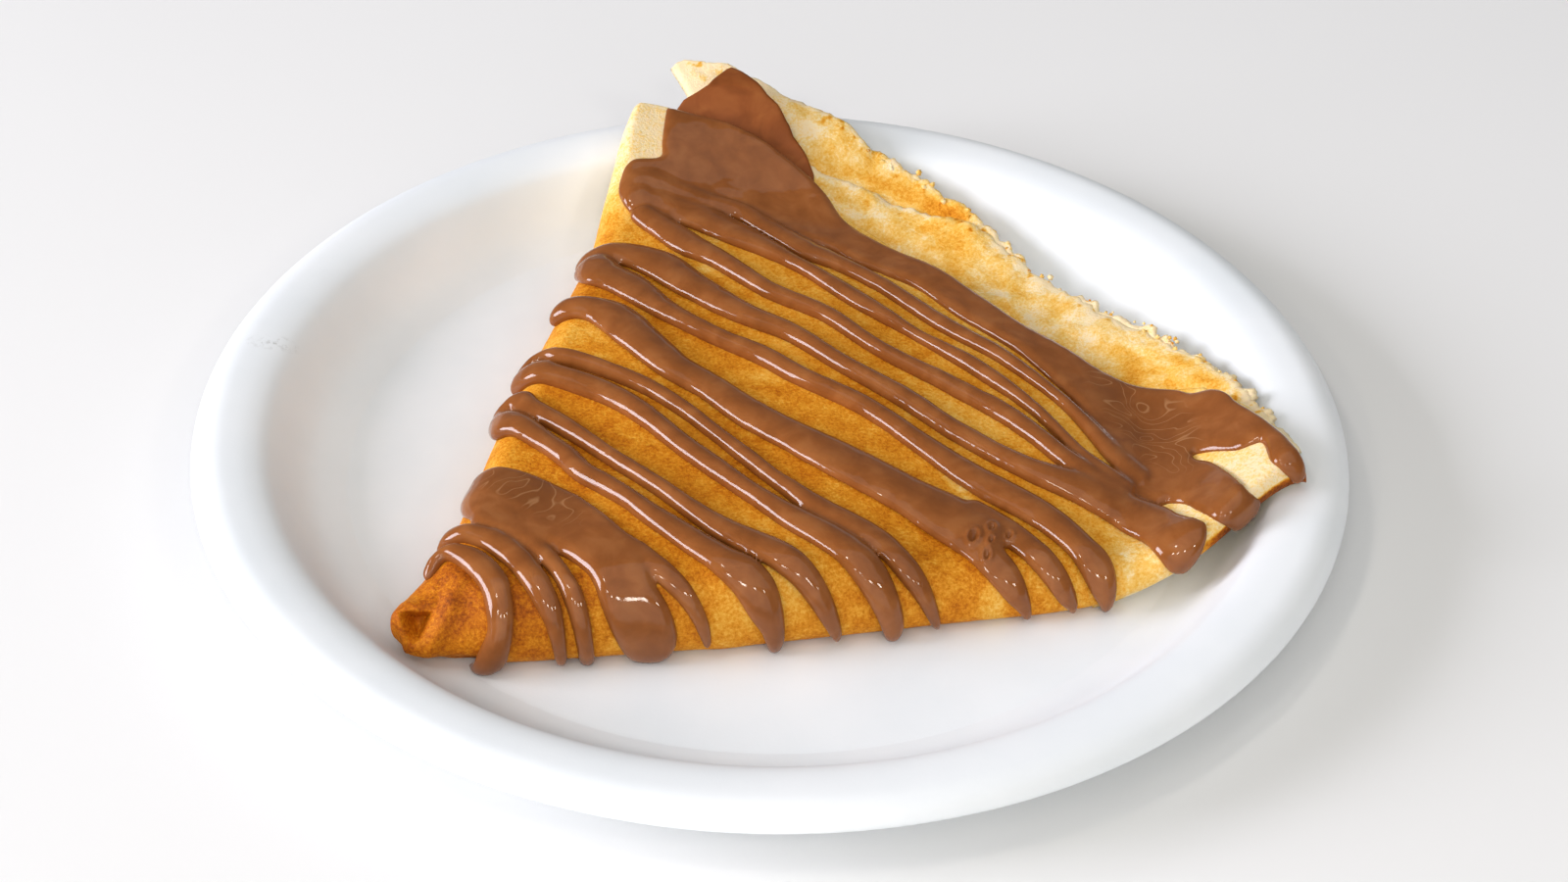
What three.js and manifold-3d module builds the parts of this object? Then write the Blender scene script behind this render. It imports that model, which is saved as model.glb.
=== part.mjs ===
// A crepe folded to a wedge, spread with chocolate inside and drizzled with it on top,
// lying on a round moulded-fibre plate. Millimetres, +Z up, plate base on z = 0.
import * as THREE from 'three';
import { mergeVertices } from 'three/addons/utils/BufferGeometryUtils.js';
import Module from 'manifold-3d';

const wasm = await Module();
wasm.setup();

// Plate
const PLATE_RADIUS = 130;
const RIM_TOP = 18;
const FLOOR_TOP = 3;
const SHELL = 2;
const PLATE_STEPS = 48;

const PLATE_TOP = [[0, FLOOR_TOP], [97, FLOOR_TOP], [103, 4.6], [107, 7.8], [111.5, 14.2], [113.7, 16.4],
  [117, RIM_TOP - 0.5], [124.5, RIM_TOP], [127.5, RIM_TOP - 1], [PLATE_RADIUS, RIM_TOP - 4]];
const PLATE_UNDER = [[PLATE_RADIUS - 1.4, RIM_TOP - 4.3], [126.4, RIM_TOP - 2.9], [124, RIM_TOP - SHELL],
  [117.5, RIM_TOP - SHELL - 0.5], [112.6, 12.6], [108.6, 6.2], [104.4, 2.4], [99, 0], [0, 0]];

// Crepe: a sheet of about 400 mm diameter folded to a wedge
const TIP = new THREE.Vector2(-78.8, -73.9);
const HEADING = THREE.MathUtils.degToRad(43.45);
const HALF_ANGLE = THREE.MathUtils.degToRad(34.05);
const TIP_START = 3.5;
const TIP_HALF_WIDTH = 9;
const STACK_REACH = 168;
const FOLD_RADIUS = 9;
const BULGE = 0.3;

// Filling
const GAP = 0.4;
const FILLING_FROM = 60;
const FILLING_SIDE = 0.93;

// How deep the drizzle is rooted in the skin, and the facets the finished crepe may lose
const DEPTH = 1.8;
const SMOOTHING = 0.11;

const { smoothstep, lerp } = THREE.MathUtils;

// Value at x from a list of [x, value] pairs, straight between the pairs.
function along(pairs, x) {
  if (x <= pairs[0][0]) return pairs[0][1];
  for (let i = 1; i < pairs.length; i += 1) {
    const [x1, y1] = pairs[i];
    const [x0, y0] = pairs[i - 1];
    if (x <= x1) return lerp(y0, y1, (x - x0) / (x1 - x0));
  }
  return pairs[pairs.length - 1][1];
}

// Wedge coordinates. rho is the distance from the tip in mm. side runs from +1 on the
// left fold to -1 on the front fold. The far right corner is trimmed by a slanting edge.
const LEFT_WIDTH = [[3.5, 2.4], [5, 3.8], [8, 5.6], [12, 7], [18, 7.8], [24, 9.4], [48, 22.8], [75, 40],
  [140, 76], [175, 98], [220, 123.2]];
const FRONT_WIDTH = [[3.5, 3], [5, 5.2], [8, 7.8], [14, 12.4], [27, 20.5], [66, 43.4], [105, 63.6],
  [139, 81], [166, 92.8], [220, 123.2]];
const frontLimit = (rho) => 1 - 0.14 * smoothstep(rho, 164, 203);

function plan(rho, side) {
  const width = along(side < 0 ? FRONT_WIDTH : LEFT_WIDTH, rho);
  const angle = side * (side < 0 ? frontLimit(rho) : 1) * HALF_ANGLE;
  const forward = rho * Math.cos(angle);
  const across = width * Math.sin(angle) / Math.sin(HALF_ANGLE);
  const cos = Math.cos(HEADING);
  const sin = Math.sin(HEADING);
  return new THREE.Vector2(
    TIP.x + forward * cos - across * sin,
    TIP.y + forward * sin + across * cos,
  );
}

// Half the width of the stack at rho, measured along its arc.
function halfArc(rho) {
  return Math.max(rho * HALF_ANGLE, TIP_HALF_WIDTH * Math.min((rho - 2) / 8, 1));
}

// The underside lies on the floor of the plate and bridges up onto its rim at the arc. The
// tip stays down on the plate.
function underside(rho, side) {
  const p = plan(rho, side);
  const lift = 76 + 8 * smoothstep(-side, 0, 1) + 20 * (1 - smoothstep(rho, 30, 60));
  return 3.35 + 15.4 * smoothstep(p.length(), lift, 118);
}

// Nothing on the plate sinks below its upper face.
function rest(point) {
  const r = Math.min(Math.hypot(point.x, point.y) + 1, 124.5);
  const floor = along(PLATE_TOP, r) + GAP;
  return new THREE.Vector3(point.x, point.y, Math.max(point.z, floor));
}

const HEIGHT = [[3.5, 7.5], [5, 9.5], [8, 11.8], [14, 14.8], [19, 16.5], [30, 17.3], [60, 18],
  [100, 16.5], [150, 13], [190, 9.5], [210, 8.5]];

function stackHeight(rho, side) {
  const lean = 0.3 * smoothstep(rho, 70, 180) * Math.max(Math.min(side, 1), -1);
  return along(HEIGHT, rho) * (1 + lean);
}

// Soft swell of the upper skin.
function swell(rho, side) {
  const wave = 0.5 * Math.sin(rho / 17 + side * 2.2) + 0.4 * Math.sin(rho / 9 - side * 5);
  return wave * smoothstep(rho, 20, 60);
}

// Height of the corner that curls up behind the left fold.
const CURL = [[0.3, 0], [0.48, 0.5], [0.57, 4], [0.7, 5.5], [0.84, 8], [1, 8]];
const curl = (rho, side) => along(CURL, side) * smoothstep(rho, 188, 208);

// Outer edges of the three layers seen at the open arc: the lacy sheet at the bottom,
// the puffed sheet above it and the doubled sheet on top.
const LACE_EDGE = [[-1, 202], [-0.84, 203.5], [-0.7, 205], [-0.5, 206.5], [-0.33, 207], [-0.15, 203.5],
  [0.1, 204], [0.33, 206.5], [0.57, 208.5], [0.72, 212], [0.84, 211], [1, 207.5]];
const laceEdge = (side) => along(LACE_EDGE, side) + 0.7 * Math.sin(side * 31);
const puffEdge = (side) => 198.5 + 1.2 * Math.sin(side * 11 + 1) + 9 * smoothstep(side, 0.55, 0.85);
const TOP_EDGE = [[-1, 202], [-0.86, 201], [-0.6, 199], [-0.5, 191], [-0.4, 187], [-0.2, 181], [0, 179],
  [0.25, 181], [0.5, 186], [0.66, 190.5], [1, 191.5]];
const topEdge = (side) => along(TOP_EDGE, side);

// Level of each face in the stack, as a height above the underside.
const laceTop = (height) => 0.2 * height;
const puffTop = (height) => 0.5 * height;
const fillingDepth = (height) => 0.3 + 0.12 * height;
const lidLow = (height) => puffTop(height) + fillingDepth(height) + 2 * GAP;

// How far a fold reaches in from the side of the stack.
function foldSize(rho, hand) {
  return Math.min(FOLD_RADIUS, 0.95 * halfArc(rho), 0.75 * stackHeight(rho, hand));
}

// Shape of a fold at an angle from -90 degrees at its foot to +90 degrees at its top.
const foldInset = (angle, size) => size * (angle < 0 ? 0.45 : 1) * (1 - Math.cos(angle));
const foldLevel = (angle) => BULGE + (angle < 0 ? BULGE : 1 - BULGE) * Math.sin(angle);

// Walks once around the section of a folded stack: u in 0..1 gives the place across, from
// +1 to -1, and the place up, from 0 to 1. The folds bulge low down, under their own weight.
function sectionPoint(u, leftShare, frontShare) {
  const corner = 0.15;
  const rising = u < 0.5;
  const v = rising ? u : u - 0.5;
  if (v >= corner) {
    const t = (v - corner) / (0.5 - corner);
    return { side: lerp(frontShare - 1, 1 - leftShare, rising ? t : 1 - t), up: rising ? 1 : 0 };
  }
  const angle = (v / corner - 0.5) * Math.PI * (rising ? 1 : -1);
  const inset = foldInset(angle, rising ? frontShare : leftShare);
  return { side: rising ? inset - 1 : 1 - inset, up: foldLevel(angle) };
}

// Bends a cylinder into any closed tube. place(u, v, r) gives a point for the turn u, the
// length v and the distance r from the middle of an end cap.
function bend(around, steps, place, open = false) {
  const geometry = new THREE.CylinderGeometry(1, 1, 1, around, steps, open);
  const points = geometry.getAttribute('position');
  for (let i = 0; i < points.count; i += 1) {
    const x = points.getX(i);
    const z = points.getZ(i);
    const turn = Math.atan2(x, z) / (2 * Math.PI);
    const u = (Math.round((turn + 1) * around) % around) / around;
    const v = Math.round((points.getY(i) + 0.5) * steps) / steps;
    const p = place(u, v, Math.hypot(x, z) > 0.5 ? 1 : 0);
    points.setXYZ(i, p.x, p.y, p.z);
  }
  return geometry;
}

// A manifold body from a three.js geometry.
function body(geometry) {
  const bare = geometry.clone();
  bare.deleteAttribute('normal');
  bare.deleteAttribute('uv');
  const merged = mergeVertices(bare, 1e-4);
  const index = merged.getIndex().array;
  const triangles = [];
  for (let i = 0; i < index.length; i += 3) {
    const [a, b, c] = [index[i], index[i + 1], index[i + 2]];
    if (a !== b && b !== c && c !== a) triangles.push(a, b, c);
  }
  const made = new wasm.Manifold(new wasm.Mesh({
    numProp: 3,
    vertProperties: new Float32Array(merged.getAttribute('position').array),
    triVerts: new Uint32Array(triangles),
  }));
  if (made.volume() > 0) return made;
  for (let i = 0; i < triangles.length; i += 3) {
    [triangles[i], triangles[i + 1]] = [triangles[i + 1], triangles[i]];
  }
  return new wasm.Manifold(new wasm.Mesh({
    numProp: 3,
    vertProperties: new Float32Array(merged.getAttribute('position').array),
    triVerts: new Uint32Array(triangles),
  }));
}

// A sheet or stack between two heights, running from one distance from the tip to its edge.
// Both ends close to a line, the outer one over the length of the lip.
function layer({
  from, start = from, edge, low, high, rings, fold,
  around = 40, sideLimit = 1, lip = 1.2, power = 1,
}) {
  return body(bend(around, rings, (u, v) => {
    const ring = Math.round(v * rings);
    const closed = ring === 0 || ring === rings;
    const pace = (ring / (rings - 1)) ** power;
    const middle = lerp(from, edge(0), Math.min(pace, 1));
    const share = (hand) => (closed ? 0 : Math.min(fold, foldSize(middle, hand)) / halfArc(middle));
    const at = sectionPoint(u, share(1), share(-1));
    const side = at.side * sideLimit;
    const reach = edge(side);
    const inner = ring === 0 ? start : lerp(from, reach - lip, pace);
    const rho = ring === rings ? reach : inner;
    const height = stackHeight(rho, side);
    const bottom = low(height, rho, side);
    const top = high(height, rho, side);
    const level = lerp(bottom, top, closed ? 0.5 : at.up);
    const p = plan(rho, side);
    return rest(new THREE.Vector3(p.x, p.y, underside(rho, side) + level + curl(rho, side)));
  }, true));
}

// Point and outward direction on the upper skin of the stack, where across is 0 on the left
// fold and 1 on the front fold. Values beyond that follow the fold down towards the plate.
function skin(rho, across) {
  const arc = halfArc(rho);
  const place = (1 - 2 * across) * arc;
  const hand = Math.sign(place) || 1;
  const height = stackHeight(rho, Math.max(-1, Math.min(1, place / arc)));
  const fold = foldSize(rho, hand);
  const over = Math.max(Math.abs(place) - (arc - fold), 0);
  const upper = (fold + (1 - BULGE) * height) / 2;
  const lower = (0.45 * fold + BULGE * height) / 2;
  const turned = over / upper;
  const angle = turned < Math.PI / 2 ? Math.PI / 2 - turned : -(over - upper * Math.PI / 2) / lower;
  const side = hand * (over > 0 ? (arc - foldInset(angle, fold)) / arc : Math.abs(place) / arc);
  const p = plan(rho, side);
  const inward = plan(rho, side - 0.01 * hand);
  const level = underside(rho, side) + (height + swell(rho, side)) * foldLevel(angle) + curl(rho, side);
  const outward = p.clone().sub(inward).normalize().multiplyScalar(Math.cos(angle));
  return {
    point: new THREE.Vector3(p.x, p.y, level),
    normal: new THREE.Vector3(outward.x, outward.y, Math.sin(angle)),
  };
}

// A run of chocolate lying over the skin, high in the middle and thin at its borders.
// at lists its distances from the tip at evenly spaced places between start and end.
function run({ start, end, at, wide, high, steps = 12 }) {
  const path = new THREE.SplineCurve(at.map((rho, i) => new THREE.Vector2(i, rho)));
  const widths = wide.map((w, i) => [i / (wide.length - 1), w]);
  return body(bend(8, steps, (u, v, r) => {
    const turn = u * 2 * Math.PI;
    const t = lerp(v, (1 - Math.cos(v * Math.PI)) / 2, 0.6);
    const taper = Math.sqrt(Math.max(1 - Math.abs(2 * t - 1) ** 16, 0.2));
    const half = along(widths, t) / 2 * taper * r;
    const rise = Math.sin(turn) >= 0 ? high * taper * Math.sin(turn) : DEPTH * Math.sin(turn);
    const { point, normal } = skin(path.getPoint(t).y + half * Math.cos(turn), lerp(start, end, t));
    return rest(point.addScaledVector(normal, rise * r));
  }));
}

// Crepe: the closed stack and the layers that open towards its arc.
const stack = layer({
  from: TIP_START, edge: () => STACK_REACH, low: () => 0,
  high: (height, rho, side) => height + swell(rho, side),
  rings: 17, fold: FOLD_RADIUS, power: 1.7,
});
const lace = layer({
  from: 150, edge: laceEdge, low: () => 0, high: laceTop,
  rings: 6, fold: 3,
});
const puff = layer({
  from: 150, edge: puffEdge,
  low: (height) => 0.4 * laceTop(height), high: (height) => puffTop(height) - 0.3,
  rings: 5, fold: 3,
});
const lid = layer({
  from: 150, edge: topEdge, low: (height) => 0.4 * laceTop(height),
  high: (height, rho, side) => height + swell(rho, side),
  rings: 5, fold: FOLD_RADIUS,
});

// Filling: spread between the puffed layer and the lid, oozing out at the far left corner.
const OOZE = [[-1, -0.6], [0.55, -0.8], [0.62, 1], [0.7, 12], [0.78, 18], [0.83, 21],
  [0.87, 12], [0.93, -0.8], [1, -0.8]];
const fillingEdge = (side) => topEdge(side) + along(OOZE, side);
const trim = layer({
  from: 40, edge: fillingEdge, low: () => -3, high: (height) => height + 6,
  rings: 4, fold: 2, lip: 0.4,
});
const spread = (start, sideLimit, inset) => layer({
  from: FILLING_FROM, start, edge: () => 218, sideLimit,
  low: (height) => puffTop(height) + inset, high: (height) => lidLow(height) - inset,
  rings: 12, around: 60, fold: 2, power: 0.8,
});
const filling = spread(FILLING_FROM, FILLING_SIDE, 1.5 * GAP).intersect(trim);
const pocket = spread(FILLING_FROM - 8, 1.02 * FILLING_SIDE, 0);

// Drizzle, from the tip to the arc. Each entry is one pass of the stream across the wedge.
const PASSES = [
  { start: 0.25, end: 1.25, at: [28, 24, 22.5, 23, 23], wide: [4, 6, 5], high: 2.6 },
  { start: 0.4, end: 1.3, at: [29, 31, 33, 33, 34], wide: [5, 5, 4], high: 2.2 },
  { start: 0.7, end: 1.3, at: [36.5, 37, 38.5, 40], wide: [3, 4, 4], high: 2 },
  { start: 0.02, end: 1.16, at: [43, 41, 40.5, 45, 53], wide: [10, 17, 13], high: 2.6 },
  { start: 0.85, end: 1.13, at: [56, 60, 64], wide: [6, 4, 3.5], high: 1.8 },
  { start: -0.03, end: 1.13, at: [67, 61, 59, 62, 78], wide: [6, 6, 7], high: 2.8 },
  { start: -0.03, end: 1.1, at: [73, 68.5, 67, 70.5, 91], wide: [5.5, 4.8, 5.5], high: 2.8 },
  { start: -0.02, end: 1.1, at: [86, 84, 81.5, 85.5, 105], wide: [7, 6.5, 6], high: 2.8 },
  { start: -0.02, end: 1.08, at: [93, 92, 90.5, 93, 113], wide: [4.5, 4.5, 6], high: 2.6 },
  { start: 0.02, end: 0.98, at: [111.5, 102.5, 101.5, 111, 128], wide: [9, 10, 14], high: 3 },
  { start: 0.86, end: 1.07, at: [122, 126, 131], wide: [8, 8, 6], high: 2.4 },
  { start: 0.86, end: 1.06, at: [133, 138, 143], wide: [6, 6, 5], high: 2.4 },
  { start: 0.02, end: 1.06, at: [128, 118.5, 120, 130, 151], wide: [9, 6, 6.5], high: 2.8 },
  { start: 0.01, end: 1.05, at: [138, 130.5, 130, 141, 171], wide: [9, 6, 8], high: 2.8 },
  { start: 0.03, end: 0.86, at: [154, 142.5, 142, 149, 162], wide: [8, 6, 7], high: 2.6 },
  { start: 0.03, end: 0.82, at: [160, 157, 154, 155.5, 164], wide: [7, 4.5, 6], high: 2.4 },
  { start: 0.03, end: 0.82, at: [166, 164, 162.5, 164, 171], wide: [8, 5, 5], high: 2.4 },
  { start: 0.055, end: 0.84, at: [181, 176.5, 173, 175, 181], wide: [17, 10.5, 30], high: 2 },
  { start: 0.72, end: 0.99, at: [181, 180, 181], wide: [18, 20, 9], high: 1.8 },
  { start: 0.76, end: 0.96, at: [192, 196.5, 197.5], wide: [10, 4, 3.5], high: 1.4 },
];

// The largest closed shell of a body, without loose specks.
function whole(made) {
  return made.decompose().reduce((a, b) => (a.volume() > b.volume() ? a : b));
}

// Tip: the last fold ends in a ridge, with a hollow and a crease beside it.
function tipFold({ from, to, wide, high }) {
  const start = new THREE.Vector3(...from);
  const end = new THREE.Vector3(...to);
  const axis = end.clone().sub(start);
  const across = new THREE.Vector3(-axis.y, axis.x, 0).normalize();
  return body(bend(8, 6, (u, v, r) => {
    const turn = u * 2 * Math.PI;
    const round = Math.sqrt(Math.max(1 - (2 * v - 1) ** 4, 0.05)) * r;
    return start.clone().addScaledVector(axis, v)
      .addScaledVector(across, wide * round * Math.cos(turn))
      .add(new THREE.Vector3(0, 0, high * round * Math.sin(turn)));
  }));
}

let crepeBody = stack.add(lace).add(puff).add(lid);
for (const pass of PASSES) {
  crepeBody = crepeBody.add(run(pass));
}
const ridge = tipFold({ from: [-67.2, -61, 17], to: [-71, -72.5, 11], wide: 3, high: 4 });
const crease = tipFold({ from: [-79, -70, 15], to: [-70, -70, 16], wide: 1.2, high: 1.8 });
const hollowed = whole(crepeBody.add(ridge).subtract(crease).subtract(pocket));
crepeBody = whole(hollowed.simplify(SMOOTHING));

// Plate: flat floor, sloping wall, broad flat rim and a turned-down lip.
const profile = [...PLATE_TOP, ...PLATE_UNDER].map(([r, z]) => new THREE.Vector2(r, z));
const plateGeometry = new THREE.LatheGeometry(profile, PLATE_STEPS);
plateGeometry.rotateX(Math.PI / 2);

// Turns a finished body into a named mesh.
function mesh(name, made, color, roughness) {
  const data = made.getMesh();
  const geometry = new THREE.BufferGeometry();
  const points = new Float32Array(data.numVert * 3);
  for (let i = 0; i < data.numVert; i += 1) {
    points.set(data.vertProperties.slice(i * data.numProp, i * data.numProp + 3), i * 3);
  }
  geometry.setAttribute('position', new THREE.BufferAttribute(points, 3));
  geometry.setIndex(new THREE.BufferAttribute(new Uint32Array(data.triVerts), 1));
  geometry.computeVertexNormals();
  const material = new THREE.MeshStandardMaterial({ color, roughness, metalness: 0 });
  const object = new THREE.Mesh(geometry, material);
  object.name = name;
  return object;
}

const group = new THREE.Group();
group.name = 'folded_crepe';
group.add(
  mesh('plate', body(plateGeometry), 0xeef0f2, 0.7),
  mesh('crepe', crepeBody, 0xd9902f, 0.6),
  mesh('filling', filling, 0x8a5230, 0.45),
);

export default group;
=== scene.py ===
# %% [markdown]
# # A folded crepe on its plate
#
# A crepe is a very thin pancake. This one was folded twice while it was still soft, which makes
# a wedge of several sheets: a pointed tip where all folds meet, two rounded folds down the sides
# and an open arc at the far end, where the edge of every sheet shows. Chocolate spread was put
# between the sheets and then drizzled back and forth over the wedge.
#
# The lesson builds it the way the cook did: the plate, the stack of sheets, the spread inside and
# the drizzle on top. Lengths are in millimetres and turn into metres when a mesh is made.

# %% Frame and units
import math

import bpy
import numpy as np
from mathutils import Matrix, Vector


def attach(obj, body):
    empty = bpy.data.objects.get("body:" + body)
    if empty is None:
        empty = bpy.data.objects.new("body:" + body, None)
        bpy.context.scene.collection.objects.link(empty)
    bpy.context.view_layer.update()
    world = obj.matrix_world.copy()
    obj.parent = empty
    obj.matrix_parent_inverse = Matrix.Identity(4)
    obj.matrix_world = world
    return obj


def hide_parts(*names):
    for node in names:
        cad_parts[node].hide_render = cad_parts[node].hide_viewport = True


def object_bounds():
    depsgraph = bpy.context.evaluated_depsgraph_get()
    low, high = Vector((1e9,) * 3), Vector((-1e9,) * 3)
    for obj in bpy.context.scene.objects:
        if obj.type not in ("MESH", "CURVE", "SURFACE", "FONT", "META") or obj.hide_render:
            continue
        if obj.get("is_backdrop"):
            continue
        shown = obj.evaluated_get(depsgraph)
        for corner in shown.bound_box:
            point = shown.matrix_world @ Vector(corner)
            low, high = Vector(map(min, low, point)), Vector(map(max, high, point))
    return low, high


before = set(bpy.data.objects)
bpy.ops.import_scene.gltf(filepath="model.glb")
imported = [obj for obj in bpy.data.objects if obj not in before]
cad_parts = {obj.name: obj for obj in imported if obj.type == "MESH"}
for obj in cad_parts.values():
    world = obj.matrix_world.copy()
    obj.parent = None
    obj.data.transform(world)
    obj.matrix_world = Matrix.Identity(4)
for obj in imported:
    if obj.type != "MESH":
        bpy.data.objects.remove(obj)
cad_low, cad_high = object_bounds()
MM = 0.001
print("CAD box, mm:", [round(c / MM, 1) for c in (*cad_low, *cad_high)])

# %% [markdown]
# ## The camera
#
# The camera looks down at the plate from the front, 38 degrees above the table, from about
# 0.68 m. Its axes are written out as a matrix: right, up and backwards, then its place. A long
# lens keeps the plate's ellipse calm.

# %% Camera
ELEVATION = math.radians(37.92)
ROLL = math.radians(1.29)
CAMERA_PLACE = Vector((2.95, -528.3, 420.3)) * MM
LENS = 67.5
SENSOR_WIDTH = 36

forward = Vector((0, math.cos(ELEVATION), -math.sin(ELEVATION)))
level_right = Vector((1, 0, 0))
level_up = level_right.cross(forward)
right = math.cos(ROLL) * level_right + math.sin(ROLL) * level_up
up = -math.sin(ROLL) * level_right + math.cos(ROLL) * level_up

camera_data = bpy.data.cameras.new("camera")
camera_data.lens = LENS
camera_data.sensor_width = SENSOR_WIDTH
camera_data.clip_end = 20
camera = bpy.data.objects.new("camera", camera_data)
bpy.context.scene.collection.objects.link(camera)
turn = Matrix((right, up, -forward)).transposed()
camera.matrix_world = Matrix.Translation(CAMERA_PLACE) @ turn.to_4x4()
bpy.context.scene.camera = camera
print("camera distance to the plate, m:", round(CAMERA_PLACE.length, 3))

# %% [markdown]
# ## Colours and nodes
#
# Colours are written as hex values, the way a colour picker shows them, and one function turns
# them into the linear values that Blender's shaders work with. A second function adds a shader
# node, sets its values and links its inputs, so that each material reads as a short list.


# %% Colours and nodes
def linear(code):
    """Linear RGBA from an sRGB hex code."""
    channels = [int(code[i:i + 2], 16) / 255 for i in (1, 3, 5)]
    return [c / 12.92 if c <= 0.04045 else ((c + 0.055) / 1.055) ** 2.4 for c in channels] + [1.0]


def add(material, kind, inputs=None, stops=(), **settings):
    """Adds a node. inputs maps a socket to a value or an output, stops are a ramp's (place, hex)."""
    tree = material.node_tree
    node = tree.nodes.new(kind)
    for name, value in settings.items():
        setattr(node, name, value)
    for socket, value in (inputs or {}).items():
        if isinstance(value, bpy.types.NodeSocket):
            tree.links.new(value, node.inputs[socket])
        else:
            node.inputs[socket].default_value = value
    for number, (position, code) in enumerate(stops):
        elements = node.color_ramp.elements
        element = elements[number] if number < len(elements) else elements.new(position)
        element.position = position
        element.color = linear(code)
    return node


def new_material(name):
    """An empty material."""
    material = bpy.data.materials.new(name)
    material.use_nodes = True
    material.node_tree.nodes.clear()
    return material


def finish_material(material, surface):
    """Links the surface node to the material's output."""
    add(material, "ShaderNodeOutputMaterial", {"Surface": surface.outputs[0]})
    return material


def per_mm(size):
    """The scale of a pattern whose blobs are about size mm across."""
    return 1 / (size * MM)


print("a 4 mm mottle has the scale", round(per_mm(4)))


# %% [markdown]
# ## Meshes
#
# Food has no straight edges, so its meshes are grids of points worked out with numpy. Each piece
# is made in one go from an array of points and an array of faces. Numbers that a material needs,
# such as how brown the crepe is at a point, travel with the mesh as attributes.


# %% Meshes
def new_piece(name, points, faces, material, node, **attributes):
    """A smooth mesh object, from points in mm, that stands for a node of the solid model."""
    faces = np.asarray(faces, np.int32)
    corners = faces.shape[1]
    mesh = bpy.data.meshes.new(name)
    mesh.vertices.add(len(points))
    mesh.vertices.foreach_set("co", (np.asarray(points) * MM).astype(np.float32).ravel())
    mesh.loops.add(faces.size)
    mesh.loops.foreach_set("vertex_index", faces.ravel())
    mesh.polygons.add(len(faces))
    mesh.polygons.foreach_set("loop_start", np.arange(len(faces), dtype=np.int32) * corners)
    mesh.polygons.foreach_set("use_smooth", np.ones(len(faces), bool))
    for label, values in attributes.items():
        layer = mesh.attributes.new(label, "FLOAT", "POINT")
        layer.data.foreach_set("value", np.asarray(values, np.float32).ravel())
    mesh.validate()
    mesh.update()
    mesh.materials.append(material)
    piece = bpy.data.objects.new(name, mesh)
    bpy.context.scene.collection.objects.link(piece)
    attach(piece, "root")
    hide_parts(node)
    print(name, "has", len(faces), "faces, top at", round(float(points[:, 2].max()), 1), "mm,",
          "back at", round(float(points[:, 1].max()), 1), "mm")


def grid_faces(rows, columns, wrap=False):
    """Quads of a grid of points, whose last column may join its first one."""
    r = np.arange(rows - 1)[:, None]
    c = np.arange(columns if wrap else columns - 1)[None, :]
    n = (c + 1) % columns
    quads = [r * columns + c, r * columns + n, (r + 1) * columns + n, (r + 1) * columns + c]
    return np.stack(np.broadcast_arrays(*quads), -1).reshape(-1, 4)


# %% [markdown]
# ## Unevenness and smooth steps
#
# Nothing on food is quite even, so most shapes and tones get a little noise. It comes from a cube
# of random numbers with a fixed seed, blended softly between neighbours, so every run gives the
# same crepe. Two more helpers shape everything that follows: a smooth step, and a value that runs
# straight between a few given pairs.

# %% Noise and steps
LATTICE_SIZE = 64
LATTICE = np.random.default_rng(11).uniform(-1, 1, (LATTICE_SIZE, LATTICE_SIZE, LATTICE_SIZE))


def noise(points, size, octaves=1):
    """Smooth random values of about -1 to 1, in blobs of about size mm."""
    total = np.zeros(points.shape[:-1])
    for octave in range(octaves):
        p = points / size * 2 ** octave + 19.7 * octave
        cell = np.floor(p).astype(int)
        t = p - cell
        t = t * t * (3 - 2 * t)
        for corner in np.ndindex(2, 2, 2):
            weight = np.prod(np.where(corner, t, 1 - t), axis=-1)
            i, j, k = np.moveaxis((cell + corner) % LATTICE_SIZE, -1, 0)
            total += weight * LATTICE[i, j, k] / 2 ** octave
    return total


def smooth(x, low, high):
    """0 below low, 1 above high and an S curve between them."""
    t = np.clip((x - low) / (high - low), 0, 1)
    return t * t * (3 - 2 * t)


def along(pairs, x):
    """Value at x, straight between [x, value] pairs."""
    xs, values = np.array(pairs, float).T
    return np.interp(x, xs, values)


print("half way up a smooth step:", float(smooth(0.5, 0, 1)))


# %% [markdown]
# ## The plate
#
# A moulded-fibre plate is pressed from wet plant pulp between hot metal tools. It has a flat
# floor, a sloping wall and a broad rim that turns down at its edge, and every bend is round
# because pulp can't hold a sharp corner. Turning one outline around the plate's axis gives the
# whole shape. The outline is the same as the solid's, with its bends rounded by a spline.

# %% Plate shape
PLATE_TOP = [
    [0, 3], [60, 3], [92, 3], [97, 3.1], [103, 4.7], [107, 7.9], [111.5, 14.1], [113.7, 16.3],
    [117, 17.4], [121, 17.9], [124.5, 17.9], [127.5, 16.9], [129.4, 15], [129.8, 14.1],
]
PLATE_UNDER = [
    [128.8, 13.6], [126.4, 15.1], [124, 16], [117.5, 15.5], [112.6, 12.6], [108.6, 6.2], [104.4, 2.4],
    [99, 0.1], [92, 0], [60, 0], [0, 0],
]
PLATE_STEPS = 288
PLATE_RADIUS = round(cad_high[0] / MM)
PLATE_HEIGHT = 18


def rounded(points, steps):
    """Catmull-Rom curve through points, with the same number of steps between each two."""
    p = np.array(points, float)
    p = np.vstack([2 * p[0] - p[1], p, 2 * p[-1] - p[-2]])
    t = np.linspace(0, 1, steps, endpoint=False)[None, :, None]
    a, b, c, d = (p[i:len(p) - 3 + i, None] for i in range(4))
    curve = 0.5 * (2 * b + (c - a) * t + (2 * a - 5 * b + 4 * c - d) * t ** 2
                   + (3 * b - a - 3 * c + d) * t ** 3)
    return np.vstack([curve.reshape(-1, p.shape[1]), p[-2]])


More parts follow.
